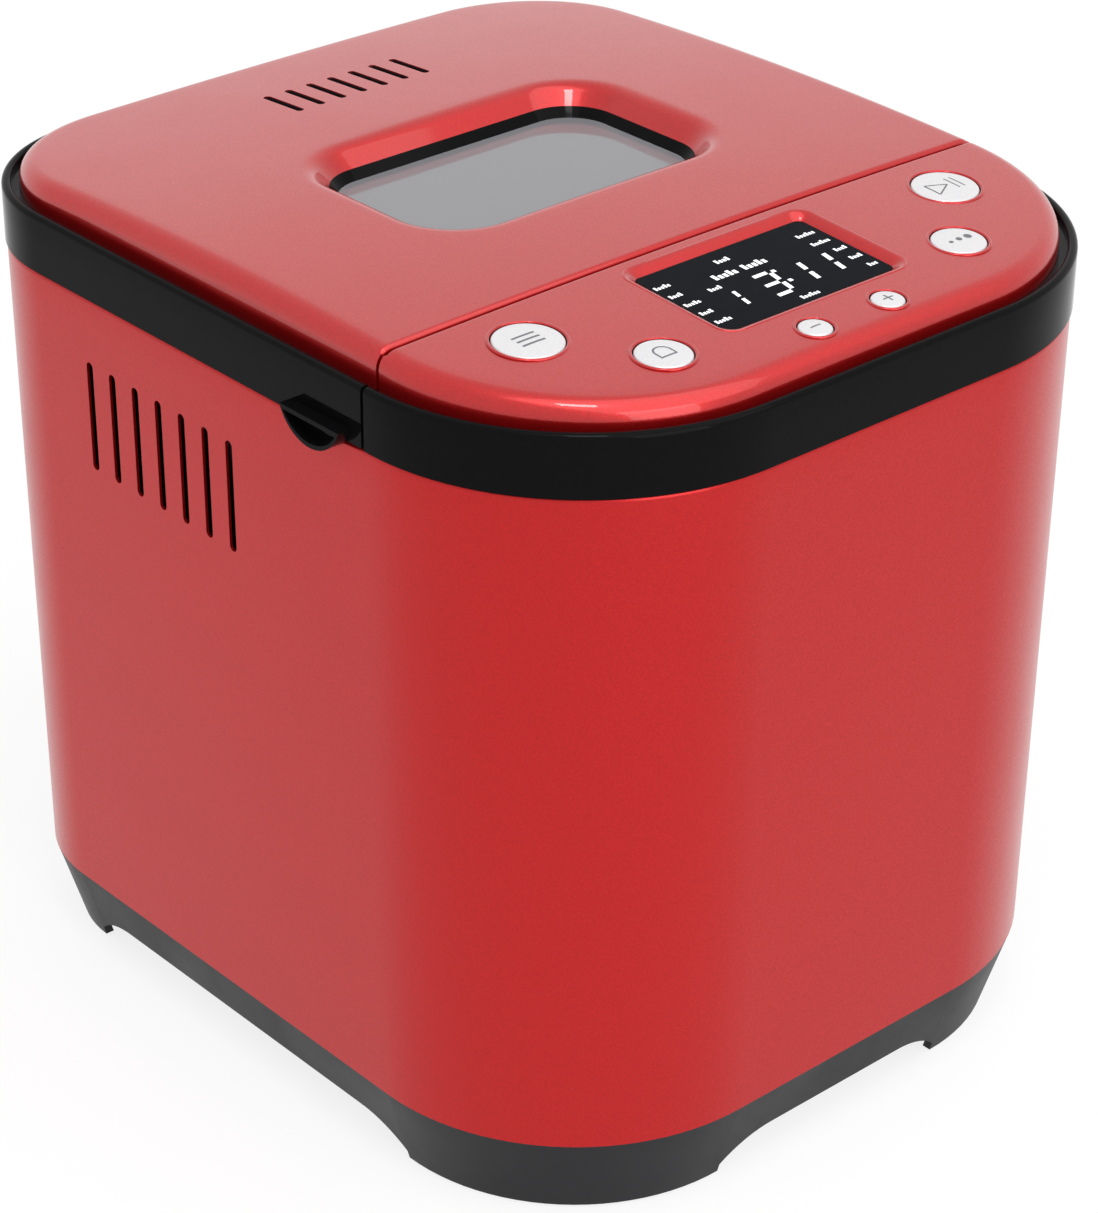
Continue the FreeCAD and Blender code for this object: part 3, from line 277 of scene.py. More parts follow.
def carve(piece, cutters, operation="DIFFERENCE", smooth_angle=crisp_angle):
    """Cuts closed meshes out of a piece, keeps only what they share, or adds them, then deletes them."""
    for cutter in cutters:
        step = piece.modifiers.new("cut", "BOOLEAN")
        step.operation = operation
        step.solver = "EXACT"
        step.object = cutter
        bpy.context.view_layer.update()
        shaped = piece.evaluated_get(bpy.context.evaluated_depsgraph_get())
        mesh = bpy.data.meshes.new_from_object(shaped)
        piece.modifiers.clear()
        old = piece.data
        piece.data = mesh
        bpy.data.meshes.remove(old)
        bpy.data.objects.remove(cutter)
    soften(piece, smooth_angle)
    return piece


def joined(name, pieces):
    """One object from several, each of which keeps its own skin."""
    shape = bmesh.new()
    for piece in pieces:
        shape.from_mesh(piece.data)
    mesh = bpy.data.meshes.new(name)
    shape.to_mesh(mesh)
    shape.free()
    for piece in pieces:
        bpy.data.objects.remove(piece)
    return linked(name, mesh)


def slab_box(name, low, high):
    """Closed cuboid between two corners."""
    x0, y0, z0 = low
    x1, y1, z1 = high
    return prism(name, [(x0, y0, z0), (x1, y0, z0), (x1, y1, z0), (x0, y1, z0)], (0, 0, z1 - z0))


def stadium(length, width, steps=12):
    """Slot outline: two half circles joined by straight sides, along the second axis."""
    angle = np.linspace(0, np.pi, steps)
    top = np.stack([np.cos(angle) * width / 2, np.sin(angle) * width / 2 + (length - width) / 2], 1)
    return np.concatenate([top, -top])


# Shader helpers

def socket(kind, group, name, direction, default=None):
    """Adds one input or output to a group, with its default where it has one."""
    made = group.interface.new_socket(name=name, in_out=direction, socket_type=kind)
    if default is not None:
        made.default_value = default


def add(tree, kind, links=None, values=None, **settings):
    """Adds a shader node: settings are its properties, values its own sockets, links what feeds them."""
    made = tree.nodes.new(kind)
    for name, value in settings.items():
        setattr(made, name, value)
    for name, value in (values or {}).items():
        made.inputs[name].default_value = value
    for name, source in (links or {}).items():
        tree.links.new(source, made.inputs[name])
    return made


def new_group(name, inputs, outputs):
    """Shader node group with value inputs and outputs, given as name to default and name to kind."""
    group = bpy.data.node_groups.new(name, "ShaderNodeTree")
    for label, default in inputs.items():
        socket("NodeSocketFloat", group, label, "INPUT", default)
    for label, kind in outputs.items():
        socket(kind, group, label, "OUTPUT")
    return group, group.nodes.new("NodeGroupInput"), group.nodes.new("NodeGroupOutput")


def give_height_and_mask(group, noise, out):
    """Puts out a noise as a height, and as a mask with its middle range spread from nought to one."""
    mask = add(group, "ShaderNodeMapRange", {"Value": noise.outputs["Fac"]},
               {"From Min": 0.35, "From Max": 0.65})
    group.links.new(noise.outputs["Fac"], out.inputs["Height"])
    group.links.new(mask.outputs["Result"], out.inputs["Mask"])


def make_grain_group():
    """Fine moulded grain: noise on object coordinates, out as a height and a soft mask."""
    group, given, out = new_group("fine_grain", {"Scale": 1500.0, "Detail": 3.0},
                                  {"Height": "NodeSocketFloat", "Mask": "NodeSocketFloat"})
    place = add(group, "ShaderNodeTexCoord")
    noise = add(group, "ShaderNodeTexNoise",
                {"Vector": place.outputs["Object"], "Scale": given.outputs["Scale"],
                 "Detail": given.outputs["Detail"]})
    give_height_and_mask(group, noise, out)
    return group


def make_flake_group():
    """Paint flakes: each small cell gets its own brightness and its own slight tilt."""
    group, given, out = new_group("paint_flake", {"Scale": 2600.0, "Tilt": 0.10},
                                  {"Sparkle": "NodeSocketFloat", "Normal": "NodeSocketVector"})
    place = add(group, "ShaderNodeTexCoord")
    cells = add(group, "ShaderNodeTexVoronoi", {"Vector": place.outputs["Object"],
                                                "Scale": given.outputs["Scale"]})
    around = add(group, "ShaderNodeVectorMath", {0: cells.outputs["Color"]}, {1: (0.5, 0.5, 0.5)},
                 operation="SUBTRACT")
    tilt = add(group, "ShaderNodeVectorMath", {0: around.outputs[0], "Scale": given.outputs["Tilt"]},
               operation="SCALE")
    facing = add(group, "ShaderNodeNewGeometry")
    leaning = add(group, "ShaderNodeVectorMath", {0: facing.outputs["Normal"], 1: tilt.outputs[0]},
                  operation="ADD")
    unit = add(group, "ShaderNodeVectorMath", {0: leaning.outputs[0]}, operation="NORMALIZE")
    split = add(group, "ShaderNodeSeparateColor", {"Color": cells.outputs["Color"]})
    group.links.new(split.outputs[0], out.inputs["Sparkle"])
    group.links.new(unit.outputs[0], out.inputs["Normal"])
    return group


def make_smudge_group():
    """Handling marks: slow noise spreads the roughness between a low and a high value."""
    group, given, out = new_group("handling_marks", {"Scale": 22.0, "Low": 0.1, "High": 0.2},
                                  {"Roughness": "NodeSocketFloat"})
    place = add(group, "ShaderNodeTexCoord")
    noise = add(group, "ShaderNodeTexNoise",
                {"Vector": place.outputs["Object"], "Scale": given.outputs["Scale"]},
                {"Detail": 5.0, "Roughness": 0.65})
    spread = add(group, "ShaderNodeMapRange", {"Value": noise.outputs["Fac"], "To Min": given.outputs["Low"],
                                               "To Max": given.outputs["High"]},
                 {"From Min": 0.3, "From Max": 0.7})
    group.links.new(spread.outputs["Result"], out.inputs["Roughness"])
    return group


def make_brush_group():
    """Rolling lines of sheet metal: noise stretched along one axis, out as a height and a mask."""
    group, given, out = new_group("rolling_lines", {"Scale": 900.0, "Stretch": 0.03},
                                  {"Height": "NodeSocketFloat", "Mask": "NodeSocketFloat"})
    place = add(group, "ShaderNodeTexCoord")
    squeeze = add(group, "ShaderNodeCombineXYZ", {"X": given.outputs["Stretch"]}, {"Y": 1.0, "Z": 1.0})
    drawn = add(group, "ShaderNodeVectorMath", {0: place.outputs["Object"], 1: squeeze.outputs[0]},
                operation="MULTIPLY")
    noise = add(group, "ShaderNodeTexNoise", {"Vector": drawn.outputs[0], "Scale": given.outputs["Scale"]},
                {"Detail": 4.0})
    give_height_and_mask(group, noise, out)
    return group


grain_group = make_grain_group()
flake_group = make_flake_group()
smudge_group = make_smudge_group()
brush_group = make_brush_group()


def new_material(name):
    """New material with its node tree and its main shader."""
    material = bpy.data.materials.new(name)
    material.use_nodes = True
    tree = material.node_tree
    return material, tree, tree.nodes["Principled BSDF"]


def use(tree, group, **values):
    """Places a node group in a tree, with these values on its inputs."""
    placed = tree.nodes.new("ShaderNodeGroup")
    placed.node_tree = group
    for name, value in values.items():
        placed.inputs[name].default_value = value
    return placed


def blend_colours(tree, mask, first, second):
    """Colour that goes from the first to the second as the mask goes from nought to one."""
    mixed = tree.nodes.new("ShaderNodeMix")
    mixed.data_type = "RGBA"
    mixed.inputs["A"].default_value = first
    mixed.inputs["B"].default_value = second
    tree.links.new(mask, mixed.inputs["Factor"])
    return mixed.outputs["Result"]


def set_values(shader, **values):
    """Sets the shader's own sockets, with an underscore for each space in a socket's name."""
    for name, value in values.items():
        shader.inputs[name.replace("_", " ")].default_value = value


def bump(tree, shader, height, strength, distance, base_normal=None):
    """Feeds the shader's normal from a height, on top of a base normal where one is given."""
    links = {"Height": height}
    if base_normal is not None:
        links["Normal"] = base_normal
    made = add(tree, "ShaderNodeBump", links, {"Strength": strength, "Distance": distance})
    tree.links.new(made.outputs["Normal"], shader.inputs["Normal"])


def gloss(tree, shader, scale, low, high):
    """Feeds the shader's roughness from handling marks between a low and a high value."""
    marks = use(tree, smudge_group, Scale=scale, Low=low, High=high)
    tree.links.new(marks.outputs["Roughness"], shader.inputs["Roughness"])


def red_paint(name, first, second, metallic, low, high, coat):
    """Metallic red enamel: tilted flakes under a clear coat with a faint orange peel."""
    material, tree, shader = new_material(name)
    flakes = use(tree, flake_group, Scale=4200.0, Tilt=0.05)
    gloss(tree, shader, 16.0, low, high)
    peel = use(tree, grain_group, Scale=240.0, Detail=1.0)
    tree.links.new(blend_colours(tree, flakes.outputs["Sparkle"], second, first), shader.inputs["Base Color"])
    bump(tree, shader, peel.outputs["Height"], 0.05, 0.0002, flakes.outputs["Normal"])
    set_values(shader, Metallic=metallic, Coat_Weight=coat, Coat_Roughness=0.04, Coat_IOR=1.5)
    return material


def plastic(name, colour, shade, low, high, scale, depth, shine=0.5):
    """Moulded plastic: grain as bump and slight shade, handling marks in the gloss."""
    material, tree, shader = new_material(name)
    grain = use(tree, grain_group, Scale=scale, Detail=3.0)
    gloss(tree, shader, 24.0, low, high)
    tree.links.new(blend_colours(tree, grain.outputs["Mask"], colour, shade), shader.inputs["Base Color"])
    bump(tree, shader, grain.outputs["Height"], 0.2, depth)
    set_values(shader, Specular_IOR_Level=shine)
    return material


def sheet_metal(name, colour, shade, low, high, stretch=0.03):
    """Rolled or drawn metal: lines along the sheet and uneven gloss."""
    material, tree, shader = new_material(name)
    lines = use(tree, brush_group, Scale=900.0, Stretch=stretch)
    gloss(tree, shader, 30.0, low, high)
    tree.links.new(blend_colours(tree, lines.outputs["Mask"], colour, shade), shader.inputs["Base Color"])
    bump(tree, shader, lines.outputs["Height"], 0.15, 0.0001)
    set_values(shader, Metallic=1.0)
    return material


def pearl(name):
    """Silver pearl paint of the buttons."""
    material, tree, shader = new_material(name)
    flakes = use(tree, flake_group, Scale=5200.0, Tilt=0.12)
    gloss(tree, shader, 60.0, 0.28, 0.36)
    shade = blend_colours(tree, flakes.outputs["Sparkle"], SILVER, SILVER_PALE)
    tree.links.new(shade, shader.inputs["Base Color"])
    tree.links.new(flakes.outputs["Normal"], shader.inputs["Normal"])
    set_values(shader, Metallic=0.35, Coat_Weight=0.4, Coat_Roughness=0.15)
    return material


def clear_glass(name):
    """Tempered window: half clear, with a grey film that veils what is behind it."""
    material, tree, shader = new_material(name)
    gloss(tree, shader, 40.0, 0.02, 0.06)
    set_values(shader, Base_Color=(0.33, 0.33, 0.35, 1), Transmission_Weight=0.5, IOR=1.5)
    return material


def lit_ink(name, colour, glow):
    """Display segments: glowing white with a faint grain."""
    material, tree, shader = new_material(name)
    grain = use(tree, grain_group, Scale=4000.0, Detail=0.0)
    dim = tuple(0.9 * part for part in colour[:3]) + (1,)
    shown = blend_colours(tree, grain.outputs["Mask"], colour, dim)
    tree.links.new(shown, shader.inputs["Base Color"])
    tree.links.new(shown, shader.inputs["Emission Color"])
    set_values(shader, Emission_Strength=glow, Roughness=0.4)
    return material


# Plastics take colour, shade, least and greatest roughness, grain scale and depth, then shine; metals take
# colour, shade, least and greatest roughness, then stretch.
finish = {
    "red_metallic": red_paint("red_enamel", RED, RED_DEEP, metallic=0.75, low=0.26, high=0.33, coat=0.25),
    "red_plastic": red_paint("red_lid_enamel", RED, RED_DEEP, metallic=0.70, low=0.28, high=0.36, coat=0.75),
    "black_gloss": plastic("black_gloss", BLACK, (0.0036, 0.0036, 0.004, 1), 0.05, 0.10,
                           700.0, 0.01 * MM, 0.05),
    "black_satin": plastic("black_satin", BLACK_SATIN, (0.011, 0.011, 0.013, 1), 0.38, 0.50,
                           1800.0, 0.15 * MM, 0.2),
    "rubber": plastic("foot_rubber", (0.016, 0.016, 0.016, 1), (0.024, 0.024, 0.024, 1), 0.7, 0.85,
                      1500.0, 0.2 * MM),
    "silver_plastic": pearl("button_pearl"),
    "display_glass": plastic("display_window", DISPLAY_BLACK, (0.003, 0.004, 0.006, 1), 0.05, 0.10,
                             300.0, 0.01 * MM, 0.02),
    "window_glass": clear_glass("lid_glass"),
    "aluminium": sheet_metal("plain_aluminium", (0.74, 0.75, 0.76, 1), (0.66, 0.67, 0.68, 1), 0.28, 0.42),
    "steel": sheet_metal("zinc_steel", (0.55, 0.56, 0.58, 1), (0.46, 0.47, 0.48, 1), 0.25, 0.40),
    "nonstick": plastic("non_stick", (0.05, 0.05, 0.055, 1), (0.075, 0.075, 0.08, 1), 0.32, 0.45,
                        2200.0, 0.1 * MM),
    "board_green": plastic("solder_mask", (0.02, 0.13, 0.05, 1), (0.03, 0.16, 0.07, 1), 0.3, 0.45,
                           600.0, 0.1 * MM),
    "component_black": plastic("component_black", (0.02, 0.02, 0.02, 1), (0.03, 0.03, 0.03, 1), 0.4, 0.55,
                               1500.0, 0.1 * MM),
    "heater_steel": sheet_metal("heater_tube", (0.30, 0.28, 0.26, 1), (0.20, 0.18, 0.17, 1), 0.35, 0.55),
    "brass": sheet_metal("sintered_bronze", (0.66, 0.48, 0.22, 1), (0.55, 0.38, 0.16, 1), 0.35, 0.5, 1.0),
    "silicone": plastic("grey_silicone", (0.42, 0.42, 0.43, 1), (0.48, 0.48, 0.49, 1), 0.6, 0.75,
                        1200.0, 0.1 * MM),
}
ink = plastic("button_ink", INK, (0.13, 0.13, 0.14, 1), 0.45, 0.6, 3000.0, 0.02 * MM)
segment_white = lit_ink("segment_white", (0.86, 0.88, 0.90, 1), glow=0.35)

slot_of = {part["node"]: part["material_slot"] for part in frame["record"]["subparts"]}
for name, node in frame["nodes"].items():
    node.data.materials.clear()
    node.data.materials.append(finish[slot_of[name]])


def finished(piece, body, slot, material=None, stands_for=()):
    """Gives a piece its finish, its body and the nodes that it stands for."""
    piece.data.materials.clear()
    piece.data.materials.append(material or finish[slot])
    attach(piece, body)
    if stands_for:
        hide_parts(*stands_for)


# Outer shell

def make_shell():
    """Thin drafted wall: rings up the outside, over a rolled lip and down the inside. Slots and the lead's
    hole are cut through it."""
    heights = np.linspace(base_top, shell_top - shell_lip, shell_rows)
    inset = shell_draft * (shell_top - heights) / (shell_top - base_top)
    rings = [station(body_at(i), z) for i, z in zip(inset, heights)]
    for turn in np.radians(np.linspace(15, 90, lip_rows)):
        lip = body_at(shell_lip * (1 - np.cos(turn)))
        rings.append(station(lip, shell_top - shell_lip * (1 - np.sin(turn))))
    rings.append(station(body_at(shell_wall), shell_top))
    rings.append(station(body_at(shell_wall + shell_draft), base_top))
    shell = ring_surface("red_shell", rings)
    outline = stadium(side_slot_length, side_slot_width)
    outside = np.full(len(outline), half_width + cut_past)
    cutters = []
    for number in range(side_slot_count):
        y = side_slot_first + side_slot_pitch * number
        spots = np.column_stack([-outside, outline[:, 0] + y, outline[:, 1] + side_slot_z])
        cutters.append(prism("slot", spots, (2 * outside[0], 0, 0)))
    angle = np.linspace(0, 2 * np.pi, circle_steps, endpoint=False)
    x = lead_hole_x + lead_hole_radius * np.cos(angle)
    z = lead_hole_z + lead_hole_radius * np.sin(angle)
    hole = np.column_stack([x, np.full(circle_steps, half_depth - cut_past), z])
    cutters.append(prism("lead_hole", hole, (0, 2 * cut_past, 0)))
    return carve(shell, cutters)


finished(make_shell(), "body", "red_metallic", stands_for=("outer_shell",))


# Crowned cap, split into lid cover and control fascia

window_points, window_normals = plan(*window_half, window_corner, window_corner, arc_steps=160, run_steps=400,
                                     middle=(0.0, window_y))


def window_at(grow, angles):
    """Window outline grown by grow, met by rays at these angles from the window's centre."""
    spots = window_points + grow * window_normals
    bearing = np.arctan2(spots[:, 1] - window_y, spots[:, 0])
    reach = np.hypot(spots[:, 1] - window_y, spots[:, 0])
    order = np.argsort(bearing)
    length = np.interp(angles, bearing[order], reach[order], period=2 * np.pi)
    return np.stack([length * np.cos(angles), window_y + length * np.sin(angles)], 1)


def make_cap():
    """Hollow crowned ring round the window: rings up the slope, over the rolled mouth, along the crown, over
    the rolled rim and down the wall, then back inside."""
    rim = body_at(cap_inset + cap_roll)
    angles = np.arctan2(rim[:, 1] - window_y, rim[:, 0])
    rings = []
    lip = crown(window_at(0, angles))
    for share in np.linspace(0, 1 - roll_share, slope_rows):
        spots = window_at(-window_slope * (1 - share), angles)
        rings.append(station(spots, window_floor + (lip - window_floor) * share))
    for share in np.linspace(0, 1, mouth_rows)[1:]:
        left = (1 - share) ** 2
        spots = window_at(window_roll * share ** 2 - roll_share * window_slope * left, angles)
        rings.append(station(spots, crown(spots) - roll_share * (lip - window_floor) * left))
    mouth = window_at(window_roll, angles)
    for share in np.linspace(0, 1, crown_rows)[1:]:
        spots = mouth + (rim - mouth) * share
        rings.append(station(spots, crown(spots)))
    for turn in np.radians(np.linspace(0, 90, rim_rows))[1:]:
        spots = body_at(cap_inset + cap_roll * (1 - math.sin(turn)))
        rings.append(station(spots, crown(spots) - cap_roll * (1 - math.cos(turn))))
    rings.append(station(body_at(cap_inset), cap_foot))
    rings.append(station(body_at(cap_inset + cap_wall), cap_foot))
    inner = body_at(cap_inset + cap_wall)
    rings.append(station(inner, crown(inner) - cap_roll))
    inner = body_at(cap_inset + cap_roll)
    rings.append(station(inner, crown(inner) - cap_wall))
    inner = window_at(cap_wall, angles)
    rings.append(station(inner, crown(inner) - cap_wall))
    rings.append(station(window_at(cap_wall - window_slope, angles), window_floor))
    return ring_surface("cap", rings, cap_crisp_angle)


def roll_seam(piece, edge, away):
    """Rolls a cut edge of the cap over: top points at distance d from the edge, up to the roll's radius r,
    drop by r - sqrt(r^2 - (r - d)^2). Extra cuts beside the edge give the roll its points."""
    shape = bmesh.new()
    shape.from_mesh(piece.data)
    for share in seam_cuts:
        geometry = shape.verts[:] + shape.edges[:] + shape.faces[:]
        bmesh.ops.bisect_plane(shape, geom=geometry, dist=1e-7, plane_no=(0, 1, 0),
                               plane_co=(0, edge + away * seam_roll * share, 0))
    shape.to_mesh(piece.data)
    shape.free()
    buffer = np.empty(3 * len(piece.data.vertices), np.float32)
    piece.data.vertices.foreach_get("co", buffer)
    points = buffer.reshape(-1, 3).astype(float)
    distance = (points[:, 1] - edge) * away
    rolled = (distance < seam_roll) & (crown(points) - points[:, 2] < cap_wall / 2)
    left = np.clip(seam_roll ** 2 - (seam_roll - distance) ** 2, 0, None)
    points[:, 2] -= np.where(rolled, seam_roll - np.sqrt(left), 0)
    piece.data.vertices.foreach_set("co", points.astype(np.float32).ravel())
    piece.data.update()


def seam_wall(name, y, thickness, rim_steps=10, level_steps=40):
    """Upright wall along the seam: the cap's cross-section at y, carried back by thickness."""
    side = half_width - cap_inset
    turn = np.radians(np.linspace(90, 0, rim_steps))
    rim = side - cap_roll * (1 - np.sin(turn))
    drop = cap_roll * (1 - np.cos(turn))
    level = np.linspace(side - cap_roll, cap_roll - side, level_steps)[1:-1]
    x = np.concatenate([rim, level, -rim[::-1]])
    fall = np.concatenate([drop, np.zeros(len(level)), drop[::-1]])
    top = crown(np.column_stack([x, np.full(len(x), y)])) - fall - cap_wall
    x = np.concatenate([[side], x, [-side]])
    z = np.concatenate([[cap_foot], top, [cap_foot]])
    return prism(name, np.column_stack([x * wall_share, np.full(len(x), y), z]), (0, thickness, 0))


def keep_rear(piece):
    """Keeps what lies behind the seam."""
    carve(piece, [slab_box("rear_half", (-far, lid_edge, 0), (far, far, far))], "INTERSECT")


def keep_front(piece):
    """Keeps what lies in front of the seam."""
    carve(piece, [slab_box("front_half", (-far, -far, 0), (far, fascia_edge, far))], "INTERSECT")


def make_lid_cover():
    """Rear part of the cap, with a rolled edge and a wall at the seam and its slots cut through."""
    cover = make_cap()
    keep_rear(cover)
    roll_seam(cover, lid_edge, 1)
    carve(cover, [seam_wall("front_wall", lid_edge, cap_wall)], "UNION")
    outline = stadium(lid_slot_length, lid_slot_width)
    cutters = []
    for x in lid_slots:
        spots = station(outline + np.array([x, lid_slot_y]), lid_cut_low)
        cutters.append(prism("lid_slot", spots, (0, 0, lid_cut_height)))
    carve(cover, cutters, smooth_angle=cap_crisp_angle)
    cover.name = "lid_cover_skin"
    return cover


# Black band under the cap

ledge_drop = 7 * MM
ledge_sheet = 3 * MM
ledge_inset = 16 * MM
band_round = 1.6 * MM
shoulder_drop = 2.4 * MM
shoulder_gap = 0.15 * MM
hinge_y = 137 * MM
hinge_z = 251.5 * MM
notch_x = 97 * MM
notch_z = 252.5 * MM
hinge_clear = 4.2 * MM
knuckle_radius = 3.2 * MM
knuckle_length = 6 * MM
knuckle_x = 55 * MM
tab_y = -46 * MM
tab_half = 13 * MM
tab_top = 249.5 * MM
tab_low = 240.5 * MM
tab_reach = 4.4 * MM
tab_wall = 1.4 * MM
tab_root = 0.2 * MM
tab_floor = 0.8 * MM
notch_reach = 12 * MM
web_reach = 7 * MM
web_gap = 0.5 * MM
crest_flat = 0.2 * MM
face_inset = 1.0 * MM


def make_band(name, low, round_steps=8):
    """Hoop round the body: a section of (inset, height) with a rounded top, a shoulder beside the cap and a
    ledge, carried along the body's outline."""
    outer, inner = -band_proud, band_wall - band_proud
    turn = np.radians(np.linspace(0, 90, round_steps))
    section = [(outer, low), (outer, (low + band_top) / 2)]
    section += [(outer + band_round * (1 - np.cos(a)), band_top - band_round * (1 - np.sin(a))) for a in turn]
    small = band_wall - band_round - crest_flat
    section += [(inner - small * (1 - np.sin(a)), band_top - small * (1 - np.cos(a))) for a in turn]
    ledge_top = band_top - ledge_drop
    ledge = ledge_top - ledge_sheet
    shoulder = band_top - shoulder_drop
    beside_cap = cap_inset - shoulder_gap
    section += [(inner, shoulder), (beside_cap, shoulder - shoulder_gap), (beside_cap, ledge_top),
                (ledge_inset, ledge_top), (ledge_inset, ledge), (inner, ledge), (inner, low)]
    return ring_surface(name, [station(body_at(inset), z) for inset, z in section])


def long_rod(name, radius, start, stop, y, z, steps=32):
    """Closed rod along X."""
    angle = np.linspace(0, 2 * np.pi, steps, endpoint=False)
    ring = np.column_stack([np.full(steps, start), y + radius * np.cos(angle), z + radius * np.sin(angle)])
    return prism(name, ring, (stop - start, 0, 0))


def half_moon(inset, start, stop, steps=28):
    """Closed half-moon bar along X: the arc through the two upper corners and the lowest point, drawn in."""
    half = tab_half - inset
    deep = tab_top - tab_low - 2 * inset
    radius = (half ** 2 + deep ** 2) / (2 * deep)
    sweep = math.asin(half / radius)
    sweep = math.pi - sweep if deep > radius else sweep
    angle = np.linspace(-sweep, sweep, steps)
    y = tab_y + radius * np.sin(angle)
    z = tab_low + inset + radius * (1 - np.cos(angle))
    return prism("moon", np.column_stack([np.full(steps, start), y, z]), (stop - start, 0, 0))


def seam_face(y, low):
    """Upright wall of a band along the seam, from low up to the ledge."""
    end = half_width - face_inset
    return slab_box("seam_face", (-end, y, low), (end, y + cap_wall, band_top - ledge_drop))


def make_lid_band():
    """Rear part of the hoop, notched for the hinge, with a wall at the seam, a hollow thumb tab and the hinge
    knuckles with their webs."""
    low = shell_top + lid_rest_gap
    band = make_band("lid_band_hoop", low)
    keep_rear(band)
    notch = slab_box("notch", (-notch_x, hinge_y - notch_reach, low - MM), (notch_x, far, notch_z))
    carve(band, [notch, long_rod("clear", hinge_clear, -notch_x, notch_x, hinge_y, hinge_z)])
    wall = seam_face(lid_edge, low)
    inside = -half_width - band_proud
    tab = half_moon(0, inside + tab_root, inside - tab_reach)
    carve(tab, [half_moon(tab_wall, inside - tab_floor, inside - tab_reach - MM)])
    parts = [band, wall, tab]
    for side in (-1, 1):
        start = side * knuckle_x - knuckle_length / 2
        parts.append(long_rod("knuckle", knuckle_radius, start, start + knuckle_length, hinge_y, hinge_z))
        parts.append(slab_box("web", (start, hinge_y - web_reach, hinge_z),
                              (start + knuckle_length, hinge_y - web_gap, band_top - ledge_drop)))
    return joined("lid_band_skin", parts)


def make_housing_band():
    """Front part of the hoop, with its wall at the seam."""
    band = make_band("housing_hoop", shell_top)
    keep_front(band)
    return joined("housing_skin", [band, seam_face(fascia_edge - cap_wall, shell_top)])


finished(make_lid_band(), "lid", "black_gloss", stands_for=("lid_band",))
finished(make_housing_band(), "body", "black_gloss", stands_for=("panel_housing",))


# Control panel

panel_tilt = math.asin(-panel_y / crown_depth_radius)
panel_height = float(crown(np.array([[0.0, panel_y]]))[0])
panel_place = Matrix.Translation((0, panel_y, panel_height)) @ Matrix.Rotation(panel_tilt, 4, "X")
panel_array = np.array(panel_place)


def on_panel(points):
    """Moves points from the panel's tilted frame to the part's frame."""
    return np.asarray(points, float) @ panel_array[:3, :3].T + panel_array[:3, 3]


def panel_spot(x, y):
    """Panel coordinates of the crown above a plan point."""
    height = float(crown(np.array([[x, y]]))[0])
    return np.array(panel_place.inverted() @ Vector((x, y, height)))


# Pairs of buttons: distance from the middle, place along the depth and radius, in millimetres
button_pairs = {
    ("menu", "start"): (82.3, -84.8, 10.3),
    ("loaf", "color"): (58.2, -112.7, 8.3),
    ("minus", "plus"): (14.3, -126.6, 5.0),
}
buttons = {}
for (left, right), (x, y, radius) in button_pairs.items():
    buttons[left] = (panel_spot(-x * MM, y * MM), radius * MM)
    buttons[right] = (panel_spot(x * MM, y * MM), radius * MM)


def panel_turned(name, profile, middle, steps=72):
    """Profile turned about the panel's normal at a spot on the panel."""
    points, faces = turned(profile, steps)
    return mesh_object(name, on_panel(points + np.array([middle[0], middle[1], 0])), faces)


def make_display_bevel(roll_steps=6):
    """Sloped red frame of the display: rings from the mouth down to the window and back outside."""
    spots, normals = plan(*display_half, display_corner, display_corner, arc_steps=10, run_steps=24)

    def ring(grow, drop):
        """Window outline grown by grow, at a drop below the panel."""
        return on_panel(station(spots + grow * normals, -drop))

    rings = []
    for turn in np.linspace(0, 1, roll_steps):
        grow = display_bevel + mouth_roll * (1 - turn) ** 2
        rings.append(ring(grow - mouth_roll * turn ** 2, mouth_drop * turn ** 2))
    mouth = rings[0]
    mouth[:, 2] = crown(mouth[:, :2]) + mouth_lift
    rings += [ring(grow, drop) for grow, drop in frame_section]
    return ring_surface("display_bevel", rings, cap_crisp_angle)


def make_fascia(rim_steps=12):
    """Front part of the cap, with the display's mouth and frame and a half-round rim at each button hole."""
    fascia = make_cap()
    keep_front(fascia)
    roll_seam(fascia, fascia_edge, -1)
    carve(fascia, [seam_wall("rear_wall", fascia_edge - cap_wall, cap_wall)], "UNION")
    spots, normals = plan(*display_half, display_corner, display_corner, arc_steps=10, run_steps=4)
    mouth = spots + (display_bevel + mouth_ease) * normals
    low = on_panel(station(mouth, -panel_cut))
    cutters = [prism("display_mouth", low, panel_array[:3, 2] * 2 * panel_cut)]
    rims = [make_display_bevel()]
    for name, (middle, radius) in buttons.items():
        hole = radius + button_gap
        profile = [(0, -cut_past), (hole, -cut_past), (hole, cut_past / 2), (0, cut_past / 2)]
        cutters.append(panel_turned("hole", profile, middle))
        turn = np.linspace(0, np.pi, rim_steps)
        crest = np.column_stack([hole + rim_width / 2 + rim_width / 2 * np.cos(turn),
                                 middle[2] - rim_sink + rim_height * np.sin(turn)])
        inner = [(hole, middle[2] - cap_wall), (hole + rim_foot, middle[2] - cap_wall), crest[0]]
        ring = np.concatenate([crest, inner])
        rims.append(panel_turned("rim_" + name, ring, middle))
    carve(fascia, cutters, smooth_angle=cap_crisp_angle)
    return joined("fascia_skin", [fascia] + rims)


def make_painted_shade_plate():
    """Black plate close under the lid's slots, as painted shade: it makes the slots read dark."""
    half_x, half_y = shade_plate_half
    rear = lid_slot_y + half_y
    top = float(crown(np.array([[half_x, rear]]))[0]) - cap_wall - shade_plate_gap
    return slab_box("slot_painted_shade_plate", (-half_x, lid_slot_y - half_y, top - shade_plate_sheet), (half_x, rear, top))


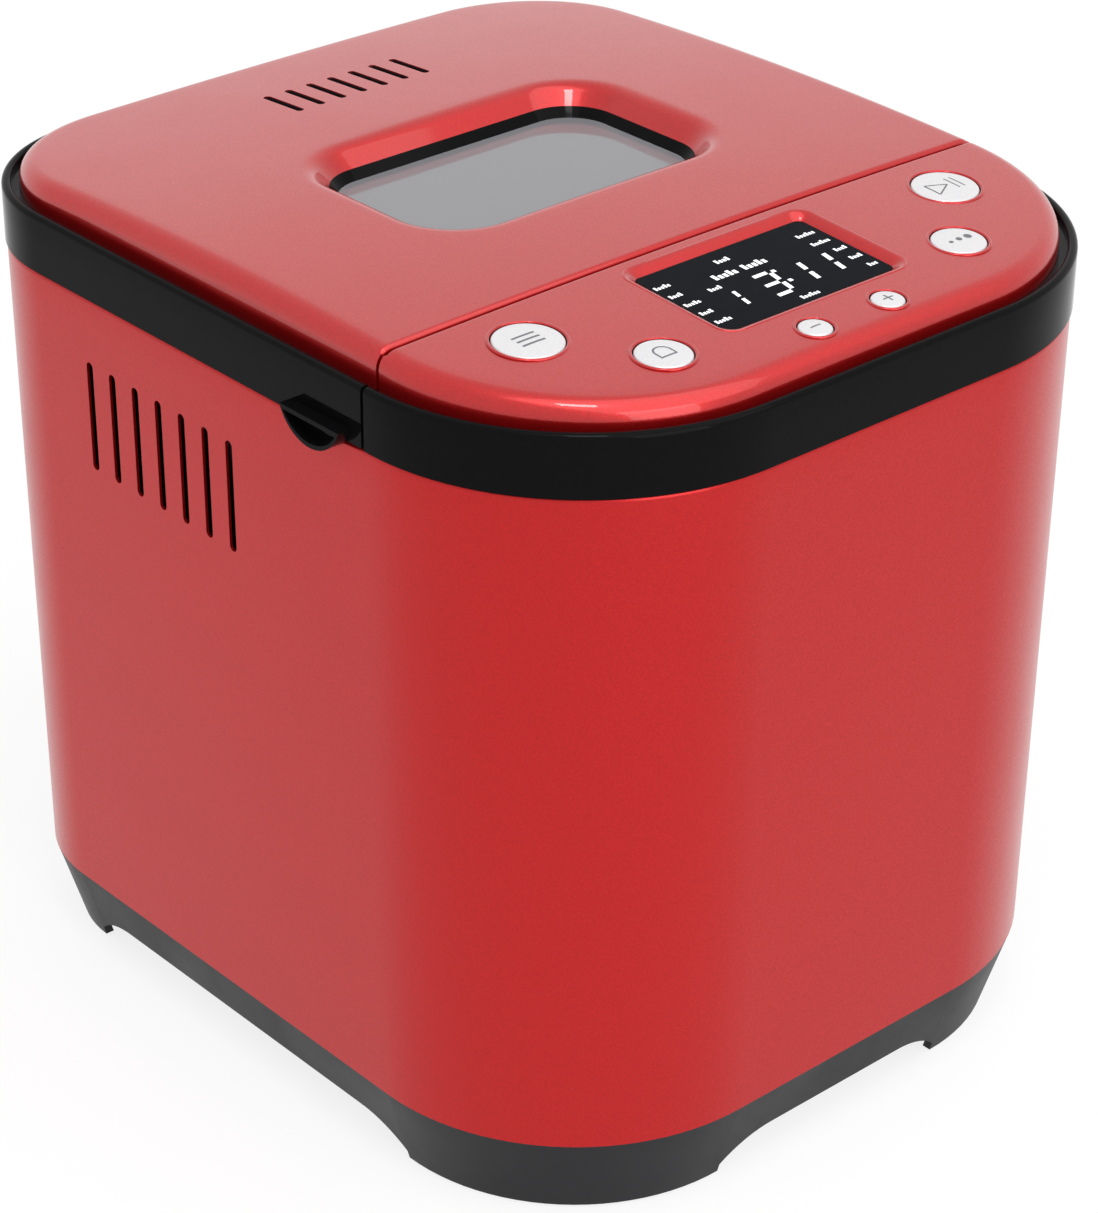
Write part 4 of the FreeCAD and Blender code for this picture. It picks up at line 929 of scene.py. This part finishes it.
def make_painted_shade_linings():
    """Dark sleeves in the lid's slots, as painted shade: slot outlines from just under the crown down through
    the wall.
    """
    shade_linings = []
    for x in lid_slots:
        middle = np.array([x, lid_slot_y])
        outer = stadium(lid_slot_length + shade_lining_sheet, lid_slot_width + shade_lining_sheet) + middle
        inner = stadium(lid_slot_length - shade_lining_sheet, lid_slot_width - shade_lining_sheet) + middle
        rings = [station(outer, crown(outer) - cap_wall), station(outer, crown(outer) - shade_lining_sink),
                 station(inner, crown(inner) - shade_lining_sink), station(inner, crown(inner) - cap_wall)]
        shade_linings.append(ring_surface("shade_lining", rings))
    return joined("slot_painted_shade_linings", shade_linings)


finished(make_lid_cover(), "lid", "red_plastic", stands_for=("lid_cover",))
# Painted shade: a black plate under the lid's slots makes them read dark.
finished(make_painted_shade_plate(), "lid", "black_satin")
# Painted shade: black linings make the slot walls read dark.
finished(make_painted_shade_linings(), "lid", "black_satin")
finished(make_fascia(), "body", "red_plastic", stands_for=("control_fascia",))


# Buttons and their marks

def dome_height(radius, away):
    """Height of the button's domed face at a distance from its middle."""
    ball = (radius ** 2 + button_dome ** 2) / (2 * button_dome)
    return np.sqrt(ball ** 2 - away ** 2) - ball


def make_button(name, middle, radius, face_steps=16, edge_steps=9):
    """Turned disc: domed face, rounded shoulder, straight skirt and a closed underside."""
    top = middle[2] + button_proud
    flat = radius - button_edge
    away = np.linspace(0, flat, face_steps)
    face = np.column_stack([away, top + dome_height(radius, away)])
    turn = np.radians(np.linspace(0, 90, edge_steps))[1:]
    shoulder = np.column_stack([flat + button_edge * np.sin(turn),
                                face[-1, 1] - button_edge * (1 - np.cos(turn))])
    low = middle[2] - button_skirt
    foot = [(radius, low), (0, low)]
    return panel_turned(name, np.concatenate([face, shoulder, foot]), middle, button_steps)


def strip(start, stop, width, steps=10):
    """Flat bar between two points, as a grid of points three wide."""
    start, stop = np.array(start, float), np.array(stop, float)
    along = stop - start
    across = np.array([-along[1], along[0]]) / np.hypot(*along) * width / 2
    share = np.linspace(0, 1, steps)[:, None, None]
    side = np.array([-1.0, 0.0, 1.0])[None, :, None]
    return start + share * along + side * across


def bow(middle, radius, start, stop, width, steps=28):
    """Flat arc of a ring between two angles in degrees."""
    angle = np.radians(np.linspace(start, stop, steps))[:, None, None]
    reach = radius + np.array([-0.5, 0.0, 0.5])[None, :, None] * width
    return np.array(middle) + reach * np.concatenate([np.cos(angle), np.sin(angle)], 2)


def marks(name, patches, middle, height):
    """Printed shapes laid on a face: each patch is a grid of (x, y) in millimetres, its height a function of
    the distance from the middle."""
    points, faces, count = [], [], 0
    for patch in patches:
        rows, columns = patch.shape[:2]
        flat = patch.reshape(-1, 2) * MM
        away = np.hypot(flat[:, 0], flat[:, 1])
        points.append(np.column_stack([flat + middle[:2], height(away)]))
        faces += grid_faces(rows, columns, False, False, count)
        count += len(flat)
    return mesh_object(name, on_panel(np.concatenate(points)), faces)


def upright(x, low, high, width):
    """Upright bar at x."""
    return strip((x, low), (x, high), width)


def level_bar(left, right, y, width):
    """Level bar at y."""
    return strip((left, y), (right, y), width)


# Signs in millimetres about each button's middle: list, triangle and two bars, loaf, dots, minus, plus
menu_half, menu_pitch, menu_line = 4, 2.4, 0.8
start_half, start_left, start_tip, start_line = 3.4, -5.6, 0.8, 0.5
pause_bars = (2.8, 5.0)
loaf_half, loaf_low, loaf_spring, loaf_line = 2.7, -2.2, 0.4, 0.6
loaf_foot = loaf_half + loaf_line / 2
dots = ((-3.2, 0.7), (0, 1.0), (3.6, 1.3))
plus_half, plus_line = 1.9, 0.55
plus_level = level_bar(-plus_half, plus_half, 0, plus_line)
signs = {
    "menu": [level_bar(-menu_half, menu_half, row * menu_pitch, menu_line) for row in (-1, 0, 1)],
    "start": [upright(start_left, -start_half, start_half, start_line)]
             + [strip((start_left, end), (start_tip, 0), start_line) for end in (start_half, -start_half)]
             + [upright(x, -start_half, start_half, start_line) for x in pause_bars],
    "loaf": [level_bar(-loaf_foot, loaf_foot, loaf_low, loaf_line)]
            + [upright(x, loaf_low, loaf_spring, loaf_line) for x in (-loaf_half, loaf_half)]
            + [bow((0, loaf_spring), loaf_half, 0, 180, loaf_line)],
    "color": [bow((x, 0), 0.5 * radius, 0, 360, radius) for x, radius in dots],
    "minus": [plus_level],
    "plus": [plus_level, upright(0, -plus_half, plus_half, plus_line)],
}

for name, patches in signs.items():
    middle, radius = buttons[name]
    body = name + "_button"
    finished(make_button(name + "_disc", middle, radius), body, "silver_plastic", stands_for=(body,))
    top = middle[2] + button_proud + ink_lift
    printed = marks(name + "_sign", patches, middle, lambda away: top + dome_height(radius, away))
    finished(printed, body, "silver_plastic", ink)


# Display

# Figures and rows of blocks: shares of their height, then places and sizes in millimetres about the middle
figure_width = 0.58
figure_bar = 0.13
figure_lean = 0.167
bar_trim = 0.58
block_pitch = 0.62
block_share = 0.7
block_low = 0.68
lit_bars = {1: "bc", 3: "abgcd"}
time_figures = ((3, -7.2), (1, 3.6), (1, 13.8))
time_foot = -11.8
time_height = 12.2
colon_left, colon_size = 2.6, 1.4
colon_rows = (-6.9, 0)
small_figure = (1, -21.9, -11.2, 9.5)
row_height = 1.9
row_top = 10.5
row_pitch = 6.2
rows_left, rows_right = -32, 31.5
row_lengths = ((5.4, 7.5), (5.0, 7.5), (5.4, 4.5), (5.0, 4.5), (5.4, 3.4))
middle_rows = ((-13.8, 5.2, 8.5, 3.0), (-2.4, 5.2, 9.5, 3.0), (-6.4, 12.6, 5.0, 2.2),
               (-20, 1.0, 5.0, row_height), (-2, -17.6, 7.0, row_height))


def digit(number, x, y, height):
    """Seven-segment figure as flat bars, each trimmed at its ends, leaning by a share of the height."""
    width = height * figure_width
    bar = height * figure_bar
    half = height / 2
    ends = {
        "a": ((0, height), (width, height)), "g": ((0, half), (width, half)), "d": ((0, 0), (width, 0)),
        "b": ((width, half), (width, height)), "c": ((width, 0), (width, half)),
    }
    bars = []
    for segment in lit_bars[number]:
        start, stop = np.array(ends[segment], float)
        run = (stop - start) / np.hypot(*(stop - start)) * bar * bar_trim
        flat = strip(start + run, stop - run, bar, 3)
        bars.append(flat + flat[..., 1:] * np.array([figure_lean, 0]) + np.array([x, y]))
    return bars


def block_row(x, y, length, height):
    """Row of narrow blocks, every third one taller."""
    pitch = block_pitch * height
    count = max(int(round(length / pitch)), 2)
    blocks = []
    for number in range(count):
        tall = height if number % 3 == 0 else block_low * height
        left = x + number * pitch
        blocks.append(strip((left, y + tall / 2), (left + block_share * pitch, y + tall / 2), tall, 3))
    return blocks


def make_display_marks():
    """Time in segments, one small figure, and rows of blocks for the settings."""
    patches = []
    for number, x in time_figures:
        patches += digit(number, x, time_foot, time_height)
    patches += [strip((colon_left, y), (colon_left + colon_size, y), colon_size, 3) for y in colon_rows]
    patches += digit(*small_figure)
    for row, (left, right) in enumerate(row_lengths):
        y = row_top - row_pitch * row
        patches += block_row(rows_left, y, left, row_height)
        patches += block_row(rows_right - right, y, right, row_height)
    for place in middle_rows:
        patches += block_row(*place)
    level = -display_depth + ink_lift
    return marks("display_segments", patches, np.zeros(3), lambda away: np.full(len(away), level))


finished(make_display_marks(), "body", "display_glass", segment_white)


# Stage, light and camera

floor_span = 6.0
floor_thickness = 20 * MM
floor_white = 0.82
FLOOR_GREY = (0.86, 0.86, 0.86, 1)
WHITE = (1, 1, 1, 1)
horizon_light = 0.10
sky_light = 1.05
horizon_rise = 0.05
sky_rise = 0.45
# Lamps: place, aim, size in metres and power in watts
lamps = {
    "key_above": ((0.1, -0.8, 1.6), (0, 0, 0.2), (2.0, 2.0), 14),
    "top_glint": ((-0.40, -0.53, 1.72), (0, 0, 0.27), (0.30, 0.30), 4),
    "front_soft": ((-0.2, -1.8, 0.7), (0, 0, 0.13), (1.0, 1.4), 9),
}
camera_azimuth = math.radians(-41.747)
camera_elevation = math.radians(29.341)
camera_roll = math.radians(0.44)
camera_distance = 1.14005
camera_aim = Vector((0, 0, 0.130))
camera_shift = (1.207 * MM, -5.276 * MM)
focal_pixels = 3580.2
picture_height = 1213
sensor = 36.0


def rays_seen(tree):
    """One for rays from the camera, from glossy surfaces and through glass, and nought for the rest."""
    path = add(tree, "ShaderNodeLightPath")
    seen = add(tree, "ShaderNodeMath", {0: path.outputs["Is Camera Ray"], 1: path.outputs["Is Glossy Ray"]},
               operation="MAXIMUM")
    return add(tree, "ShaderNodeMath", {0: seen.outputs[0], 1: path.outputs["Is Transmission Ray"]},
               operation="MAXIMUM")


def make_floor():
    """Pale floor that reads as white to the camera and keeps the object's shadow."""
    floor = slab_box("floor", (-floor_span, -floor_span, -floor_thickness), (floor_span, floor_span, 0.0))
    material, tree, _ = new_material("pale_floor")
    tree.nodes.clear()
    seen = rays_seen(tree)
    share = add(tree, "ShaderNodeMath", {0: seen.outputs[0]}, {1: floor_white}, operation="MULTIPLY")
    matt = add(tree, "ShaderNodeBsdfDiffuse", values={"Color": FLOOR_GREY})
    white = add(tree, "ShaderNodeEmission", values={"Color": WHITE, "Strength": 1.0})
    mixed = add(tree, "ShaderNodeMixShader", {0: share.outputs[0], 1: matt.outputs[0], 2: white.outputs[0]})
    add(tree, "ShaderNodeOutputMaterial", {"Surface": mixed.outputs[0]})
    floor.data.materials.append(material)


def make_world():
    """White surroundings for what the camera and reflections see, softer fill for matt surfaces."""
    world = bpy.data.worlds.new("studio")
    bpy.context.scene.world = world
    world.use_nodes = True
    tree = world.node_tree
    tree.nodes.clear()
    seen = rays_seen(tree)
    place = add(tree, "ShaderNodeTexCoord")
    height = add(tree, "ShaderNodeSeparateXYZ", {"Vector": place.outputs["Generated"]})
    level = add(tree, "ShaderNodeMapRange", {"Value": height.outputs["Z"]},
                {"From Min": horizon_rise, "From Max": sky_rise,
                 "To Min": horizon_light, "To Max": sky_light})
    fill = add(tree, "ShaderNodeBackground", {"Strength": level.outputs["Result"]}, {"Color": WHITE})
    white = add(tree, "ShaderNodeBackground", values={"Color": WHITE, "Strength": 1.0})
    mixed = add(tree, "ShaderNodeMixShader", {0: seen.outputs[0], 1: fill.outputs[0], 2: white.outputs[0]})
    add(tree, "ShaderNodeOutputWorld", {"Surface": mixed.outputs[0]})


def area_lamp(name, place, aim, size, power):
    """Rectangular lamp at a place, turned to face the aim point."""
    lamp = bpy.data.lights.new(name, "AREA")
    lamp.shape = "RECTANGLE"
    lamp.size, lamp.size_y = size
    lamp.energy = power
    holder = linked(name, lamp)
    holder.location = place
    holder.rotation_euler = (Vector(aim) - Vector(place)).to_track_quat("-Z", "Y").to_euler()


def make_camera():
    """Camera on a sphere round the aim point, rolled slightly, with the aim shifted in its own plane."""
    level = math.cos(camera_elevation)
    back = Vector((math.sin(camera_azimuth) * level, -math.cos(camera_azimuth) * level,
                   math.sin(camera_elevation)))
    right = (-back).cross(Vector((0, 0, 1))).normalized()
    up = right.cross(-back)
    c, s = math.cos(camera_roll), math.sin(camera_roll)
    right, up = right * c + up * s, up * c - right * s
    place = camera_aim + right * camera_shift[0] + up * camera_shift[1] + back * camera_distance
    data = bpy.data.cameras.new("camera")
    data.sensor_width = sensor
    data.lens = focal_pixels * sensor / picture_height
    holder = linked("camera", data)
    turn = Matrix((right, up, back)).transposed().to_4x4()
    holder.matrix_world = Matrix.Translation(place) @ turn
    bpy.context.scene.camera = holder


make_floor()
make_world()
for name, values in lamps.items():
    area_lamp(name, *values)
make_camera()
bpy.context.scene.view_settings.view_transform = "Standard"
